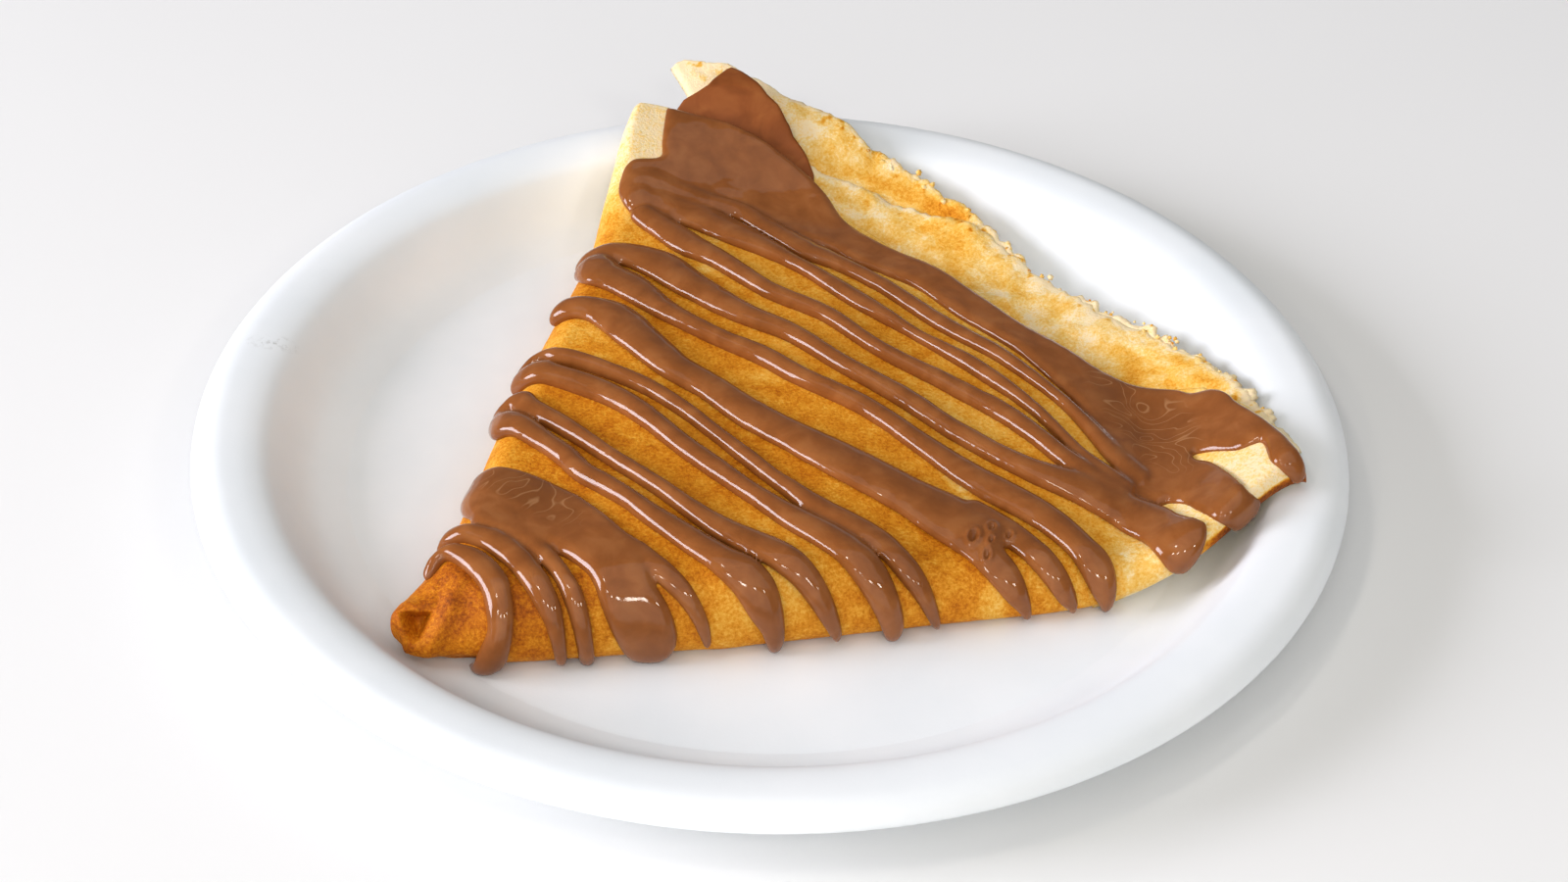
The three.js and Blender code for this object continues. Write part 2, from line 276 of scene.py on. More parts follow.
outline = np.vstack([rounded(PLATE_TOP, 4), rounded(PLATE_UNDER, 4)])
outline[:, 0] = np.clip(outline[:, 0], 0.02, PLATE_RADIUS)
outline[:, 1] = np.clip(outline[:, 1], 0, PLATE_HEIGHT)
angles = np.linspace(0, 2 * np.pi, PLATE_STEPS, endpoint=False)
plate_points = np.stack([
    outline[:, None, 0] * np.cos(angles),
    outline[:, None, 0] * np.sin(angles),
    np.broadcast_to(outline[:, None, 1], (len(outline), PLATE_STEPS)),
], -1)
print("plate outline has", len(outline), "points, radius", PLATE_RADIUS, "mm")

# %% [markdown]
# ## Moulded sugar-cane fibre
#
# Pressed pulp is white and a little rough, and the hot tool leaves it with a faint satin sheen.
# Under a soft light that reads as a white with a slight cloudiness and a very fine grain. Pulp's
# refractive index is about 1.5, as for most plant fibre.

# %% Plate material
pulp = new_material("moulded_sugar_cane_fibre")
place = add(pulp, "ShaderNodeTexCoord").outputs["Object"]
clouds = add(pulp, "ShaderNodeTexNoise", {"Vector": place, "Scale": per_mm(40), "Detail": 4})
grain = add(pulp, "ShaderNodeTexNoise", {
    "Vector": place, "Scale": per_mm(0.9), "Detail": 4, "Roughness": 0.65,
})
white = add(pulp, "ShaderNodeValToRGB", {"Fac": clouds.outputs["Fac"]},
            stops=[(0.3, "#e6ecf0"), (0.7, "#f0f4f7")])
print("the grain of the pulp has the scale", round(grain.inputs["Scale"].default_value))

# %% [markdown]
# ## A scuff on the rim
#
# The left of the rim carries a grey scuff. It is a patch of thin streaks: one value fades with
# the distance from its place on the rim, a noise cuts it into streaks, and their product mixes
# grey into the white.

# %% Scuff and finish
SCUFF_PLACE = (-0.116, 0.0215, 0.0178)
SCUFF_SQUEEZE = (1.0, 2.2, 1.0)
SCUFF_REACH = (0.007, 0.0015)
offset = add(pulp, "ShaderNodeVectorMath", {0: place, 1: SCUFF_PLACE}, operation="SUBTRACT")
stretched = add(pulp, "ShaderNodeVectorMath", {
    0: offset.outputs[0], 1: SCUFF_SQUEEZE,
}, operation="MULTIPLY")
reach = add(pulp, "ShaderNodeVectorMath", {0: stretched.outputs[0]}, operation="LENGTH")
near = add(pulp, "ShaderNodeMapRange", {
    "Value": reach.outputs["Value"], "From Min": SCUFF_REACH[0], "From Max": SCUFF_REACH[1],
})
streaks = add(pulp, "ShaderNodeTexNoise", {
    "Vector": place, "Scale": per_mm(2.2), "Detail": 5, "Roughness": 0.7,
})
streak_mask = add(pulp, "ShaderNodeMapRange", {
    "Value": streaks.outputs["Fac"], "From Min": 0.5, "From Max": 0.62,
})
scuff = add(pulp, "ShaderNodeMath", {0: near.outputs[0], 1: streak_mask.outputs[0]}, operation="MULTIPLY")
scuff_share = add(pulp, "ShaderNodeMath", {0: scuff.outputs[0], 1: 0.55}, operation="MULTIPLY")
pulp_colour = add(pulp, "ShaderNodeMix", {
    "Factor": scuff_share.outputs[0], "A": white.outputs[0], "B": linear("#9a9a98"),
}, data_type="RGBA")
gloss = add(pulp, "ShaderNodeMapRange", {"Value": grain.outputs["Fac"], "To Min": 0.34, "To Max": 0.5})
pressed = add(pulp, "ShaderNodeBump", {
    "Height": grain.outputs["Fac"], "Strength": 0.12, "Distance": 0.2 * MM,
})
finish_material(pulp, add(pulp, "ShaderNodeBsdfPrincipled", {
    "Base Color": pulp_colour.outputs["Result"], "Roughness": gloss.outputs[0], "IOR": 1.5,
    "Normal": pressed.outputs[0],
}))

plate_faces = grid_faces(len(outline), PLATE_STEPS, True)
new_piece("plate_moulded", plate_points.reshape(-1, 3), plate_faces, pulp, "plate")

# %% [markdown]
# ## Wedge coordinates
#
# Everything on the crepe is placed by two numbers. rho is the distance from the tip, and side
# runs from +1 on the left fold to -1 on the front fold. The sizes below are those of the solid:
# each list gives a width or a height at some distances from the tip.

# %% Sizes of the wedge
TIP = np.array([-78.8, -73.9])
HEADING = math.radians(43.45)
HALF_ANGLE = math.radians(34.05)
TIP_HALF_WIDTH = 9
FOLD_RADIUS = 9
BULGE = 0.3
TUCK = 0.45
FLAT_BASE = 3.35
BRIDGE_RISE = 15.4
BRIDGE_START = 76
BRIDGE_END = 118
RIM_CREST = 122
TOP_LIMIT = 32
LEFT_WIDTH = [
    [3.5, 2.4], [5, 3.8], [8, 5.6], [12, 7], [18, 7.8], [24, 9.4], [48, 22.8], [75, 40], [140, 76],
    [175, 98], [220, 123.2],
]
FRONT_WIDTH = [
    [3.5, 3], [5, 5.2], [8, 7.8], [14, 12.4], [27, 20.5], [66, 43.4], [105, 63.6], [139, 81],
    [166, 92.8], [220, 123.2],
]
HEIGHT = [
    [3.5, 7.5], [5, 9.5], [8, 11.8], [14, 14.8], [19, 16.5], [30, 17.3], [60, 18], [100, 16.5],
    [150, 13], [190, 9.5], [210, 8.5],
]
CURL = [[0.3, 0], [0.48, 0.5], [0.57, 4], [0.7, 5.5], [0.84, 8], [1, 8]]
print("the wedge opens by", round(2 * math.degrees(HALF_ANGLE)), "degrees")

# %% [markdown]
# ## From two numbers to a place
#
# Small functions turn rho and side into a place on the plate, as they do in the solid: how wide
# the wedge is, how far its underside is lifted where it bridges onto the rim, and how thick the
# stack is. The last one keeps every point above the plate.


# %% Places on the wedge
def plan(rho, side):
    """Place on the plate of a wedge coordinate."""
    width = np.where(side < 0, along(FRONT_WIDTH, rho), along(LEFT_WIDTH, rho))
    limit = np.where(side < 0, 1 - 0.14 * smooth(rho, 164, 203), 1)
    angle = side * limit * HALF_ANGLE
    ahead = rho * np.cos(angle)
    across = width * np.sin(angle) / math.sin(HALF_ANGLE)
    cos, sin = math.cos(HEADING), math.sin(HEADING)
    return TIP[0] + ahead * cos - across * sin, TIP[1] + ahead * sin + across * cos


def half_arc(rho):
    """Half the width of the stack, along its arc."""
    return np.maximum(rho * HALF_ANGLE, TIP_HALF_WIDTH * np.minimum((rho - 2) / 8, 1))


def underside(rho, side):
    """Height of the stack's underside, which leaves the plate's floor to bridge onto its rim."""
    start = BRIDGE_START + 8 * smooth(-side, 0, 1) + 20 * (1 - smooth(rho, 30, 60))
    return FLAT_BASE + BRIDGE_RISE * smooth(np.hypot(*plan(rho, side)), start, BRIDGE_END)


def stack_height(rho, side):
    """How thick the stack is, thinner on the front side of the arc."""
    return along(HEIGHT, rho) * (1 + 0.3 * smooth(rho, 70, 180) * np.clip(side, -1, 1))


def swell(rho, side):
    """Long soft waves in the top."""
    wave = 0.5 * np.sin(rho / 17 + side * 2.2) + 0.4 * np.sin(rho / 9 - side * 5)
    return wave * smooth(rho, 20, 60)


def curl(rho, side):
    """How far the left end of the arc curls up."""
    return along(CURL, side) * smooth(rho, 188, 208)


def fold_size(rho, hand):
    """How far a fold reaches in. The left fold is pressed flatter towards its corner."""
    pressed = 5.5 * smooth(rho, 150, 188) * (hand > 0)
    widest = np.minimum(FOLD_RADIUS - pressed, 0.95 * half_arc(rho))
    return np.minimum(widest, 0.75 * stack_height(rho, hand))


def rest(points):
    """Keeps points above the plate, curls up what reaches past its rim and flattens the very top."""
    past_rim = 0.032 * np.maximum(points[..., 1] - RIM_CREST, 0) ** 2
    points[..., 1] -= past_rim
    points[..., 2] += 0.78 * past_rim
    above = np.maximum(points[..., 2] - TOP_LIMIT, 0)
    points[..., 2] += above / (1 + above / 1.4) - above
    radius = np.minimum(np.hypot(points[..., 0], points[..., 1]) + 0.5, 124.5)
    points[..., 2] = np.maximum(points[..., 2], along(PLATE_TOP, radius) + 0.25)
    return points


print("wedge width 180 mm from the tip:", round(2 * float(half_arc(180.0))), "mm")

# %% [markdown]
# ## The upper skin
#
# The skin is followed by arc length, as a tape measure laid over the wedge would be: flat on
# top, round the fold and down towards the plate. place is the distance from the middle of the
# wedge, positive to the left. The function returns points and the directions that point out of
# the skin, so that drizzle can be laid on it anywhere, also where it runs over a fold.


# %% Upper skin
def foot_place(rho, hand):
    """How far out, along the skin, the fold meets the plate."""
    fold = fold_size(rho, hand)
    height = stack_height(rho, hand)
    quarter = (fold + (1 - BULGE) * height) / 2 + (TUCK * fold + BULGE * height) / 2
    return half_arc(rho) - fold + quarter * np.pi / 2


def wrinkles(points, rho):
    """Soft unevenness of a sheet that was folded while soft."""
    broad = 0.28 * noise(points, 26) + 0.16 * noise(points, 9)
    fine = 0.07 * noise(points, 3.2) + 0.03 * noise(points, 1.3)
    return (broad + fine) * smooth(rho, 2, 30)


def skin(rho, place):
    """Points on the upper skin, outward directions and the places across, as side."""
    arc = half_arc(rho)
    hand = np.where(place < 0, -1.0, 1.0)
    reach = np.minimum(np.abs(place), foot_place(rho, hand))
    height = stack_height(rho, np.clip(place / arc, -1, 1))
    fold = fold_size(rho, hand)
    over = np.maximum(reach - (arc - fold), 0)
    upper = (fold + (1 - BULGE) * height) / 2
    lower = (TUCK * fold + BULGE * height) / 2
    turned = over / upper
    angle = np.where(turned < np.pi / 2, np.pi / 2 - turned, (upper * np.pi / 2 - over) / lower)
    angle = np.maximum(angle, -np.pi / 2)
    inset = fold * np.where(angle < 0, TUCK, 1) * (1 - np.cos(angle))
    side = hand * np.where(over > 0, (arc - inset) / arc, reach / arc)
    level = BULGE + np.where(angle < 0, BULGE, 1 - BULGE) * np.sin(angle)
    x, y = plan(rho, side)
    x_in, y_in = plan(rho, side - 0.01 * hand)
    z = underside(rho, side) + (height + swell(rho, side)) * level + curl(rho, side)
    outward = np.stack([x - x_in, y - y_in, 0 * x], -1)
    outward /= np.linalg.norm(outward, axis=-1, keepdims=True)
    normal = outward * np.cos(angle)[..., None]
    normal[..., 2] = np.sin(angle)
    points = np.stack([x, y, z], -1)
    points += normal * wrinkles(points, rho)[..., None]
    return rest(points), normal, side


beyond = float(foot_place(100.0, -1.0) - half_arc(100.0))
print("100 mm from the tip the front fold takes", round(beyond, 1), "mm more skin than the flat width")

# %% [markdown]
# ## The open arc
#
# Three edges show where the wedge is open: the doubled sheet on top, a puffed sheet below it and
# the lacy rim of the crepe at the bottom, where the batter ran thin and dried. Each is a list of
# distances from the tip.

# %% Edges at the arc
TOP_EDGE = [
    [-1, 202], [-0.86, 201], [-0.6, 199], [-0.5, 191], [-0.4, 187], [-0.2, 181], [0, 179], [0.25, 181],
    [0.5, 186], [0.66, 190.5], [0.87, 190.5], [1, 189.5],
]
LACE_EDGE = [
    [-1, 203], [-0.87, 205.3], [-0.8, 206.4], [-0.6, 206.3], [-0.47, 206.6], [-0.31, 205.6],
    [-0.17, 203.2], [-0.05, 202.2], [0.07, 202.5], [0.17, 205], [0.23, 206.4], [0.33, 207.6],
    [0.41, 209.2], [0.53, 208.8], [0.65, 210.8], [0.72, 212], [0.85, 216.6], [0.93, 215.4], [1, 213.4],
]
PUFF_EDGE = [
    [-1, 203.4], [-0.87, 205.2], [-0.6, 206], [-0.47, 205.6], [-0.31, 203.4], [-0.17, 201.6],
    [0.05, 201.6], [0.14, 202.4], [0.2, 203.4], [0.25, 203.2], [0.35, 200.6], [0.46, 198.2],
    [0.54, 197.6], [0.6, 195.4], [0.7, 196], [1, 196],
]
PUFF_SLOPE = [[-1, 14], [0.1, 14], [0.22, 4.5], [1, 4.5]]
LACE_SLOPE = [[-1, 2.2], [1, 2.2]]
FLAP_SIDE = [[150, 0.985], [192, 0.93], [202, 0.9], [206, 0.93], [210, 0.955], [214, 0.975]]
LACE_TOP = 0.2
PUFF_TOP = 0.5
LID_LOW = 0.62
print("the lacy rim reaches", max(distance for _, distance in LACE_EDGE), "mm from the tip")


PALE_CREASES = [[129.5, -0.6, 2.6, 13], [127, -1, 4, 7], [158.5, -0.96, 2.2, 6], [143, 0.58, 2.5, 9]]


def toast(points, rho, side):
    """How brown the crepe is, from 0 for cream to 1 for deep brown."""
    base = 0.55 + 0.2 * smooth(rho, 60, 10) - 0.22 * smooth(rho, 120, 195)
    corners = 0.3 * smooth(rho, 140, 185) * smooth(np.abs(side), 0.5, 1)
    patchy = 0.1 * noise(points, 22, 2) + 0.05 * noise(points, 5, 2)
    for crease_rho, crease_side, deep, long in PALE_CREASES:
        off = np.hypot((rho - crease_rho) / deep, (side - crease_side) * half_arc(crease_rho) / long)
        patchy -= smooth(off + 0.5 * noise(points, 2.4, 2), 1.1, 0.2) * 0.22
    return base - corners + patchy


# %% [markdown]
# ## Sheets with two faces
#
# Every crepe layer is a sheet with an upper and a lower face that meet along its border. If both
# faces are grids of the same size, the lower one can borrow the border points of the upper one,
# and the sheet is closed without any filling or welding afterwards.


# %% Closed sheets
def closed_sheet(top, bottom):
    """Points and faces of a body between two grids that share the border of the first."""
    rows, columns = top.shape[:2]
    upper = np.arange(rows * columns).reshape(rows, columns)
    lower = upper.copy()
    inner = np.arange((rows - 2) * (columns - 2)).reshape(rows - 2, columns - 2)
    lower[1:-1, 1:-1] = rows * columns + inner
    points = np.vstack([top.reshape(-1, 3), bottom[1:-1, 1:-1].reshape(-1, 3)])
    faces = grid_faces(rows, columns)
    return points, np.vstack([upper.ravel()[faces], lower.ravel()[faces][:, ::-1]])


trial_points, trial_faces = closed_sheet(np.zeros((4, 5, 3)), np.zeros((4, 5, 3)))
print("two grids of 4 by 5 points share a border:", len(trial_points), "points,", len(trial_faces), "faces")

# %% [markdown]
# ## The folded stack
#
# The upper face of the wedge follows the skin from foot to foot and its lower face lies on the
# plate. Rows of points lie close together at the tip, where the last turn of the fold shows, and
# the last rows bend down over the lip of the top sheet.

# %% Folded stack
COLUMNS = 300
TIP_ROWS = 10
FRONT_ROWS = 52
LONG_ROWS = 118
ARC_ROWS = 26
LIP_ROWS = 7
LIP = 2.2
TIP_FRONT = 3.5
TIP_END = 6
WEDGE_START = 30
ARC_START = 160

turns = np.linspace(1, -1, COLUMNS)[None, :]
flat_side = np.clip(turns * 1.06, -1, 1)
lid_edge = along(TOP_EDGE, flat_side) + 0.6 * np.sin(flat_side * 23)
tip_turn = np.linspace(0.02, 1, TIP_ROWS)[:, None]
lip_turn = np.linspace(0, np.pi / 2, LIP_ROWS + 1)[1:, None]
near_rows = np.concatenate([
    np.linspace(TIP_END, WEDGE_START, FRONT_ROWS, endpoint=False),
    np.linspace(WEDGE_START, ARC_START, LONG_ROWS, endpoint=False),
])
rho = np.vstack([
    np.broadcast_to(TIP_FRONT + 2.4 * (1 - np.sqrt(1 - tip_turn ** 2)), (TIP_ROWS, COLUMNS)),
    np.broadcast_to(near_rows[:, None], (len(near_rows), COLUMNS)),
    ARC_START + np.linspace(0, 1, ARC_ROWS)[:, None] * (lid_edge - LIP - ARC_START),
    lid_edge - LIP + LIP * np.sin(lip_turn),
])
row_count = len(rho)
full = np.ones((row_count, 1))
full[:TIP_ROWS] = np.sqrt(1 - (1 - tip_turn) ** 2)
drop = np.zeros((row_count, 1))
drop[-LIP_ROWS:] = 1 - np.cos(lip_turn)

hand = np.where(turns < 0, -1.0, 1.0)
top_points, _, top_side = skin(rho, turns * foot_place(rho, hand))
middle = stack_height(rho, top_side) * 0.5
lip_depth = stack_height(rho, top_side) * (1 - LID_LOW)
top_points[..., 2] -= drop * lip_depth * smooth(1 - np.abs(turns), 0, 0.05)

foot_left, foot_front = top_points[:, :1], top_points[:, -1:]
share = (turns[..., None] + 1) / 2
base_points = foot_front + (foot_left - foot_front) * share
base_side = top_side[:, -1:] + (top_side[:, :1] - top_side[:, -1:]) * share[..., 0]
base_points[..., 2] = underside(rho, base_side)
for face in (top_points, base_points):
    centre = foot_front + (foot_left - foot_front) * 0.5
    centre[..., 2] = (underside(rho, 0 * rho) + middle)[:, :1]
    face[:TIP_ROWS] = (centre + (face - centre) * full[..., None])[:TIP_ROWS]
stack_points, stack_faces = closed_sheet(rest(top_points), rest(base_points))
stack_rho = np.concatenate([rho.ravel(), rho[1:-1, 1:-1].ravel()])
stack_side = np.concatenate([top_side.ravel(), base_side[1:-1, 1:-1].ravel()])
print("stack:", row_count, "rows of", COLUMNS, "points on each face")


# %% [markdown]
# ## Modelling the tip
#
# The tip is where the last turn of the crepe ends, like the end of a rolled cone. Seen from the
# front, the body's edge runs down over it in a round ridge, a flap lies over it from the left, and
# between the two and the outer lip the end of the roll is a hollow. A sculptor would draw those
# three lines on the front of the tip, so the code starts with a drawing board that faces the tip
# and the three lines on it.

# %% Lines on the tip
BOARD_CENTRE = np.array([-72.0, -68.0, 13.0])
BOARD_FACING = np.array([0.12, -0.741, 0.661])
BOARD_RIGHT = np.array([0.987, 0.16, 0.0])
BOARD_UP = np.array([-0.106, 0.652, 0.751])
RIDGE_LINE = [
    [-1.9, -9.6], [-1.5, -8], [-0.5, -5.3], [1.7, -1.6], [3.6, 2.1], [5.1, 6.1], [7.2, 9.6],
    [8.3, 11.2],
]
CREASE_LINE = [[-5.2, 2.7], [-4.0, 2.0], [-2.4, 1.5], [-0.5, 1.0], [1.8, 0.9], [5.0, 1.3]]
LIP_LINE = [[-5.6, 3.5], [-5.2, 1], [-4.7, -1.8], [-3.7, -4.9], [-2.4, -7.4], [-1.2, -8.8]]
HOLLOW = 5.0
FOOT_LINE = [[-71, -75.4, 3.4], [-66.5, -75.6, 3.4], [-62, -75.2, 3.4]]
FOOT_RADIUS = 4.0
FOOT_PUSH = (0, 2.4, 1.6)
print("the ridge is drawn with", len(RIDGE_LINE), "points")

# %% [markdown]
# ## Pressing in the hollow
#
# Each point gets two numbers on the drawing board. Its distances from the three lines say how
# deep it is pressed in, and a soft bead follows every line.


# %% Tip of the wedge
def off_segment(points, start, end):
    """Distance of each point from a straight segment."""
    run, step = end - start, points - start
    t = np.clip(step @ run / (run @ run), 0, 1)
    return np.linalg.norm(step - t[..., None] * run, axis=-1)


def beside(drawn, line):
    """Signed distance from a drawn line, positive on the left hand of its direction."""
    line = np.array(line)
    best = np.full(len(drawn), 1e9)
    hand_of = np.ones(len(drawn))
    for start, end in zip(line[:-1], line[1:]):
        run, step = end - start, drawn - start
        away = off_segment(drawn, start, end)
        closer = away < best
        best = np.where(closer, away, best)
        hand_of = np.where(closer, np.sign(run[0] * step[:, 1] - run[1] * step[:, 0]), hand_of)
    return best * hand_of


def bead(distance, middle, width):
    """A soft round bead beside a line."""
    return np.exp(-((distance - middle) / width) ** 2)


def model_tip(points):
    """Presses the hollow into the front of the tip and draws its ridge, flap and lip."""
    local = points - BOARD_CENTRE
    drawn = np.stack([local @ BOARD_RIGHT, local @ BOARD_UP], -1)
    ridge, crease, lip = (beside(drawn, line) for line in (RIDGE_LINE, CREASE_LINE, LIP_LINE))
    pressed = HOLLOW * smooth(ridge, -0.1, 1.5) * smooth(-crease, -0.2, 1.0) * smooth(lip, -0.2, 4.2)
    left_of_ridge = smooth(ridge, -0.2, 0.8)
    beads = 1.3 * bead(ridge, -2.2, 2.2) * smooth(drawn[:, 1], 11, 8)
    flap = 0.9 * bead(crease, 1.6, 1.3)
    outer_lip = 0.5 * bead(lip, 1.0, 1.1) * smooth(-crease, 0, 2)
    beads += left_of_ridge * (flap + outer_lip)
    beads -= 0.5 * bead(ridge, 0.5, 0.8) * smooth(crease, 0, 1) * smooth(drawn[:, 1], 8.5, 6)
    front = smooth(local @ BOARD_FACING, -4.0, -1.5)
    near = smooth(np.linalg.norm(drawn, axis=1), 16, 11)
    return points + ((beads - pressed) * front * near)[:, None] * BOARD_FACING


def stroke(points, line, radius, push):
    """Moves points near a line by push, fading over the radius."""
    line = np.array(line, float)
    best = np.full(points.shape[:-1], 1e9)
    for start, end in zip(line[:-1], line[1:]):
        best = np.minimum(best, off_segment(points, start, end))
    return points + np.exp(-(best / radius) ** 2)[..., None] * np.array(push, float)


stack_points = model_tip(stack_points)
# the fold near the tip rolls up a little from the plate
stack_points = rest(stroke(stack_points, FOOT_LINE, FOOT_RADIUS, FOOT_PUSH))
print("hollow at the tip is", HOLLOW, "mm deep")

# %% [markdown]
# ## Griddled batter skin
#
# The side of a crepe that met the griddle browns in a fine mottle, because the batter touches
# the iron in some spots and steams in others. Its colour goes from cream where it stayed soft,
# through gold, to brown where it was hottest, and the toast attribute says where. In two places
# the same attribute also carries painted shade: under the lip of the front fold at its far
# corner, and in the groove just outside the puffed sheet. Cooked batter lets a little light in,
# which softens its shadows, and its faint film of butter gives it a dull gloss. Its refractive
# index is about 1.45.


# %% Crepe material
def batter(name, stops, depth):
    """Browned batter. stops are its colours and depth is how strong the mottle is."""
    material = new_material(name)
    where = add(material, "ShaderNodeTexCoord").outputs["Object"]
    # browning, and in two places painted shade as well
    browned_and_shade = add(material, "ShaderNodeAttribute", attribute_name="toast").outputs["Fac"]
    mottle = add(material, "ShaderNodeTexNoise", {
        "Vector": where, "Scale": per_mm(4), "Detail": 6, "Roughness": 0.65,
    })
    pores = add(material, "ShaderNodeTexNoise", {
        "Vector": where, "Scale": per_mm(0.75), "Detail": 3, "Roughness": 0.7,
    })
    blotches, dots = (add(material, "ShaderNodeMapRange", {
        "Value": pattern.outputs["Fac"], "From Min": 0.3, "From Max": 0.7,
        "To Min": -share * depth, "To Max": share * depth,
    }) for pattern, share in ((mottle, 1.1), (pores, 1.5)))
    both = add(material, "ShaderNodeMath", {0: blotches.outputs[0], 1: dots.outputs[0]}, operation="ADD")
    shade = add(material, "ShaderNodeMath", {0: browned_and_shade, 1: both.outputs[0]}, operation="ADD")
    colour = add(material, "ShaderNodeValToRGB", {"Fac": shade.outputs[0]}, stops=stops)
    dull = add(material, "ShaderNodeMapRange", {
        "Value": pores.outputs["Fac"], "To Min": 0.5, "To Max": 0.75,
    })
    relief = add(material, "ShaderNodeBump", {
        "Height": both.outputs[0], "Strength": 0.6, "Distance": 0.6 * MM,
    })
    return finish_material(material, add(material, "ShaderNodeBsdfPrincipled", {
        "Base Color": colour.outputs[0], "Roughness": dull.outputs[0], "IOR": 1.45,
        "Specular IOR Level": 0.2, "Subsurface Weight": 0.1, "Subsurface Radius": (1.0, 0.45, 0.12),
        "Subsurface Scale": 1.5 * MM, "Normal": relief.outputs[0],
    }))


griddled = batter("griddled_batter", [
    (0.0, "#f5dfb4"), (0.1, "#f4d593"), (0.22, "#efc46b"), (0.36, "#e9b046"), (0.52, "#dc9322"),
    (0.66, "#c8770c"), (0.82, "#a85606"), (1.0, "#713508"),
], 0.1)
stack_toast_and_shade = toast(stack_points, stack_rho, stack_side)
level = (stack_points[:, 2] - underside(stack_rho, stack_side)) / stack_height(stack_rho, stack_side)
# the front fold is open near its far corner: the crepe below its lip is painted dark brown, for the spread
# that shows there and as painted shade under the lip
SEAM_SPREAD_AND_SHADE = 0.9
far_corner = smooth(stack_rho, 170, 182) * (stack_side < -0.5)
stack_toast_and_shade += SEAM_SPREAD_AND_SHADE * smooth(level, 0.58, 0.42) * far_corner
new_piece("crepe_stack", stack_points, stack_faces, griddled, "crepe", toast=stack_toast_and_shade)

# %% [markdown]
# ## The layers at the arc
#
# Below the top sheet lie a puffed sheet and the lacy rim. Both are irregular: batter bubbles
# lift the sheet in soft pillows, and its torn edge frays into crumbs. A closed sheet gets that
# from smooth noise of several sizes, and its edge from a wavy outline.


# %% Arc layers
LAYER_GRID = (64, 420)
LAYER_START = 150
LAYER_SIDE = 0.985


def arc_layer(name, edge_list, low, high, slope, pillow, fray, brown):
    """A sheet out to its edge. low and high are shares of the stack's height."""
    rows, columns = LAYER_GRID
    turn = np.linspace(1, -1, columns)[None, :] * np.ones((rows, 1))
    share_out = np.linspace(0, 1, rows)[:, None] ** 0.8
    anchors = np.stack([60 * turn[0], 0 * turn[0] + 5 * low, 0 * turn[0]], -1)
    ragged = fray * (noise(anchors * 2.2, 3.2, 3) + 0.8 * noise(anchors * 1.9, 17))
    torn = 0.7 * fray * noise(anchors * 2.2, 1.3) * smooth(-turn, 0.3, 0.5)
    edge = along(edge_list, turn) + ragged + torn
    rho = LAYER_START + share_out * (edge - LAYER_START)
    side = turn * np.where(turn > 0, along(FLAP_SIDE, rho), LAYER_SIDE)
    height = stack_height(rho, side)
    x, y = plan(rho, side)
    flat = np.stack([x, y, 0 * x], -1)
    to_edge = edge - rho
    to_side = (1 - np.abs(turn)) * half_arc(rho)
    rim = np.minimum(np.clip(to_edge / along(slope, side), 0, 1), np.clip(to_side / 2.2, 0, 1))
    body = np.sqrt(1 - (1 - rim) ** 2)
    base = underside(rho, side) + curl(rho, side)
    half = height * (high - low) / 2 * body
    middle = base + height * low + half
    puffs = pillow * (noise(flat, 11, 2) + 0.4 * noise(flat, 3.4, 2))
    puffs *= smooth(rho, LAYER_START, LAYER_START + 8)
    crumbs = 0.35 * noise(flat, 1.5, 2) * smooth(to_edge, 6, 0)
    top = np.stack([x, y, middle + half + (puffs + crumbs) * np.minimum(body, 4 * rim)], -1)
    bottom = np.stack([x, y, middle - half], -1)
    points, faces = closed_sheet(rest(top), rest(bottom))
    bands = np.stack([rho / 3.2, side * 180 / 8, 0 * rho], -1)
    toast_and_shade = toast(flat, rho, side) + brown + 0.16 * noise(bands, 1, 3) - 0.22 * smooth(to_edge, 5, 1)
    toast_and_shade += 0.5 * smooth(noise(flat, 1.6), 0.6, 0.85) * smooth(to_edge, 7, 3)
    # the lace just outside the puffed sheet's edge is painted darker: painted shade in the groove under
    # that edge
    groove_shade = smooth(side, 0.14, 0.24) * bead(rho - along(PUFF_EDGE, side), 1.6, 2.6)
    toast_and_shade += 0.22 * groove_shade * (pillow < 0.6)
    toast_and_shade = np.concatenate([toast_and_shade.ravel(), toast_and_shade[1:-1, 1:-1].ravel()])
    new_piece(name, points, faces, griddled, "crepe", toast=toast_and_shade)


arc_layer("crepe_puffed_sheet", PUFF_EDGE, 0.08, PUFF_TOP, PUFF_SLOPE, pillow=0.8, fray=0.6, brown=-0.11)
arc_layer("crepe_lacy_rim", LACE_EDGE, 0, LACE_TOP, LACE_SLOPE, pillow=0.5, fray=1.1, brown=-0.14)

# %% [markdown]
# ## Crumbs of the rim
#
# Where the batter ran thin it dried and broke, which leaves crumbs of less than a millimetre along
# the border of the lacy rim. Each is a small ball with an uneven surface, and all of them are one
# mesh.

# %% Crumbs
CRUMBS = 80
BALL_ROWS = 6
BALL_COLUMNS = 8
CRUMB_TURNS = (-0.97, 0.55)
CRUMB_OFFSETS = (-3.2, -0.6)
CRUMB_SIZES = (0.3, 0.85)
draw = np.random.default_rng(5)
crumb_turn = draw.uniform(*CRUMB_TURNS, CRUMBS)
crumb_rho = along(LACE_EDGE, crumb_turn) + draw.uniform(*CRUMB_OFFSETS, CRUMBS)
crumb_size = draw.uniform(*CRUMB_SIZES, CRUMBS)
crumb_side = LAYER_SIDE * crumb_turn
height = stack_height(crumb_rho, crumb_side)
x, y = plan(crumb_rho, crumb_side)
z = underside(crumb_rho, crumb_side) + curl(crumb_rho, crumb_side) + LACE_TOP * height * 0.8
ball_turn = np.linspace(0, 2 * np.pi, BALL_COLUMNS, endpoint=False)[None, :]
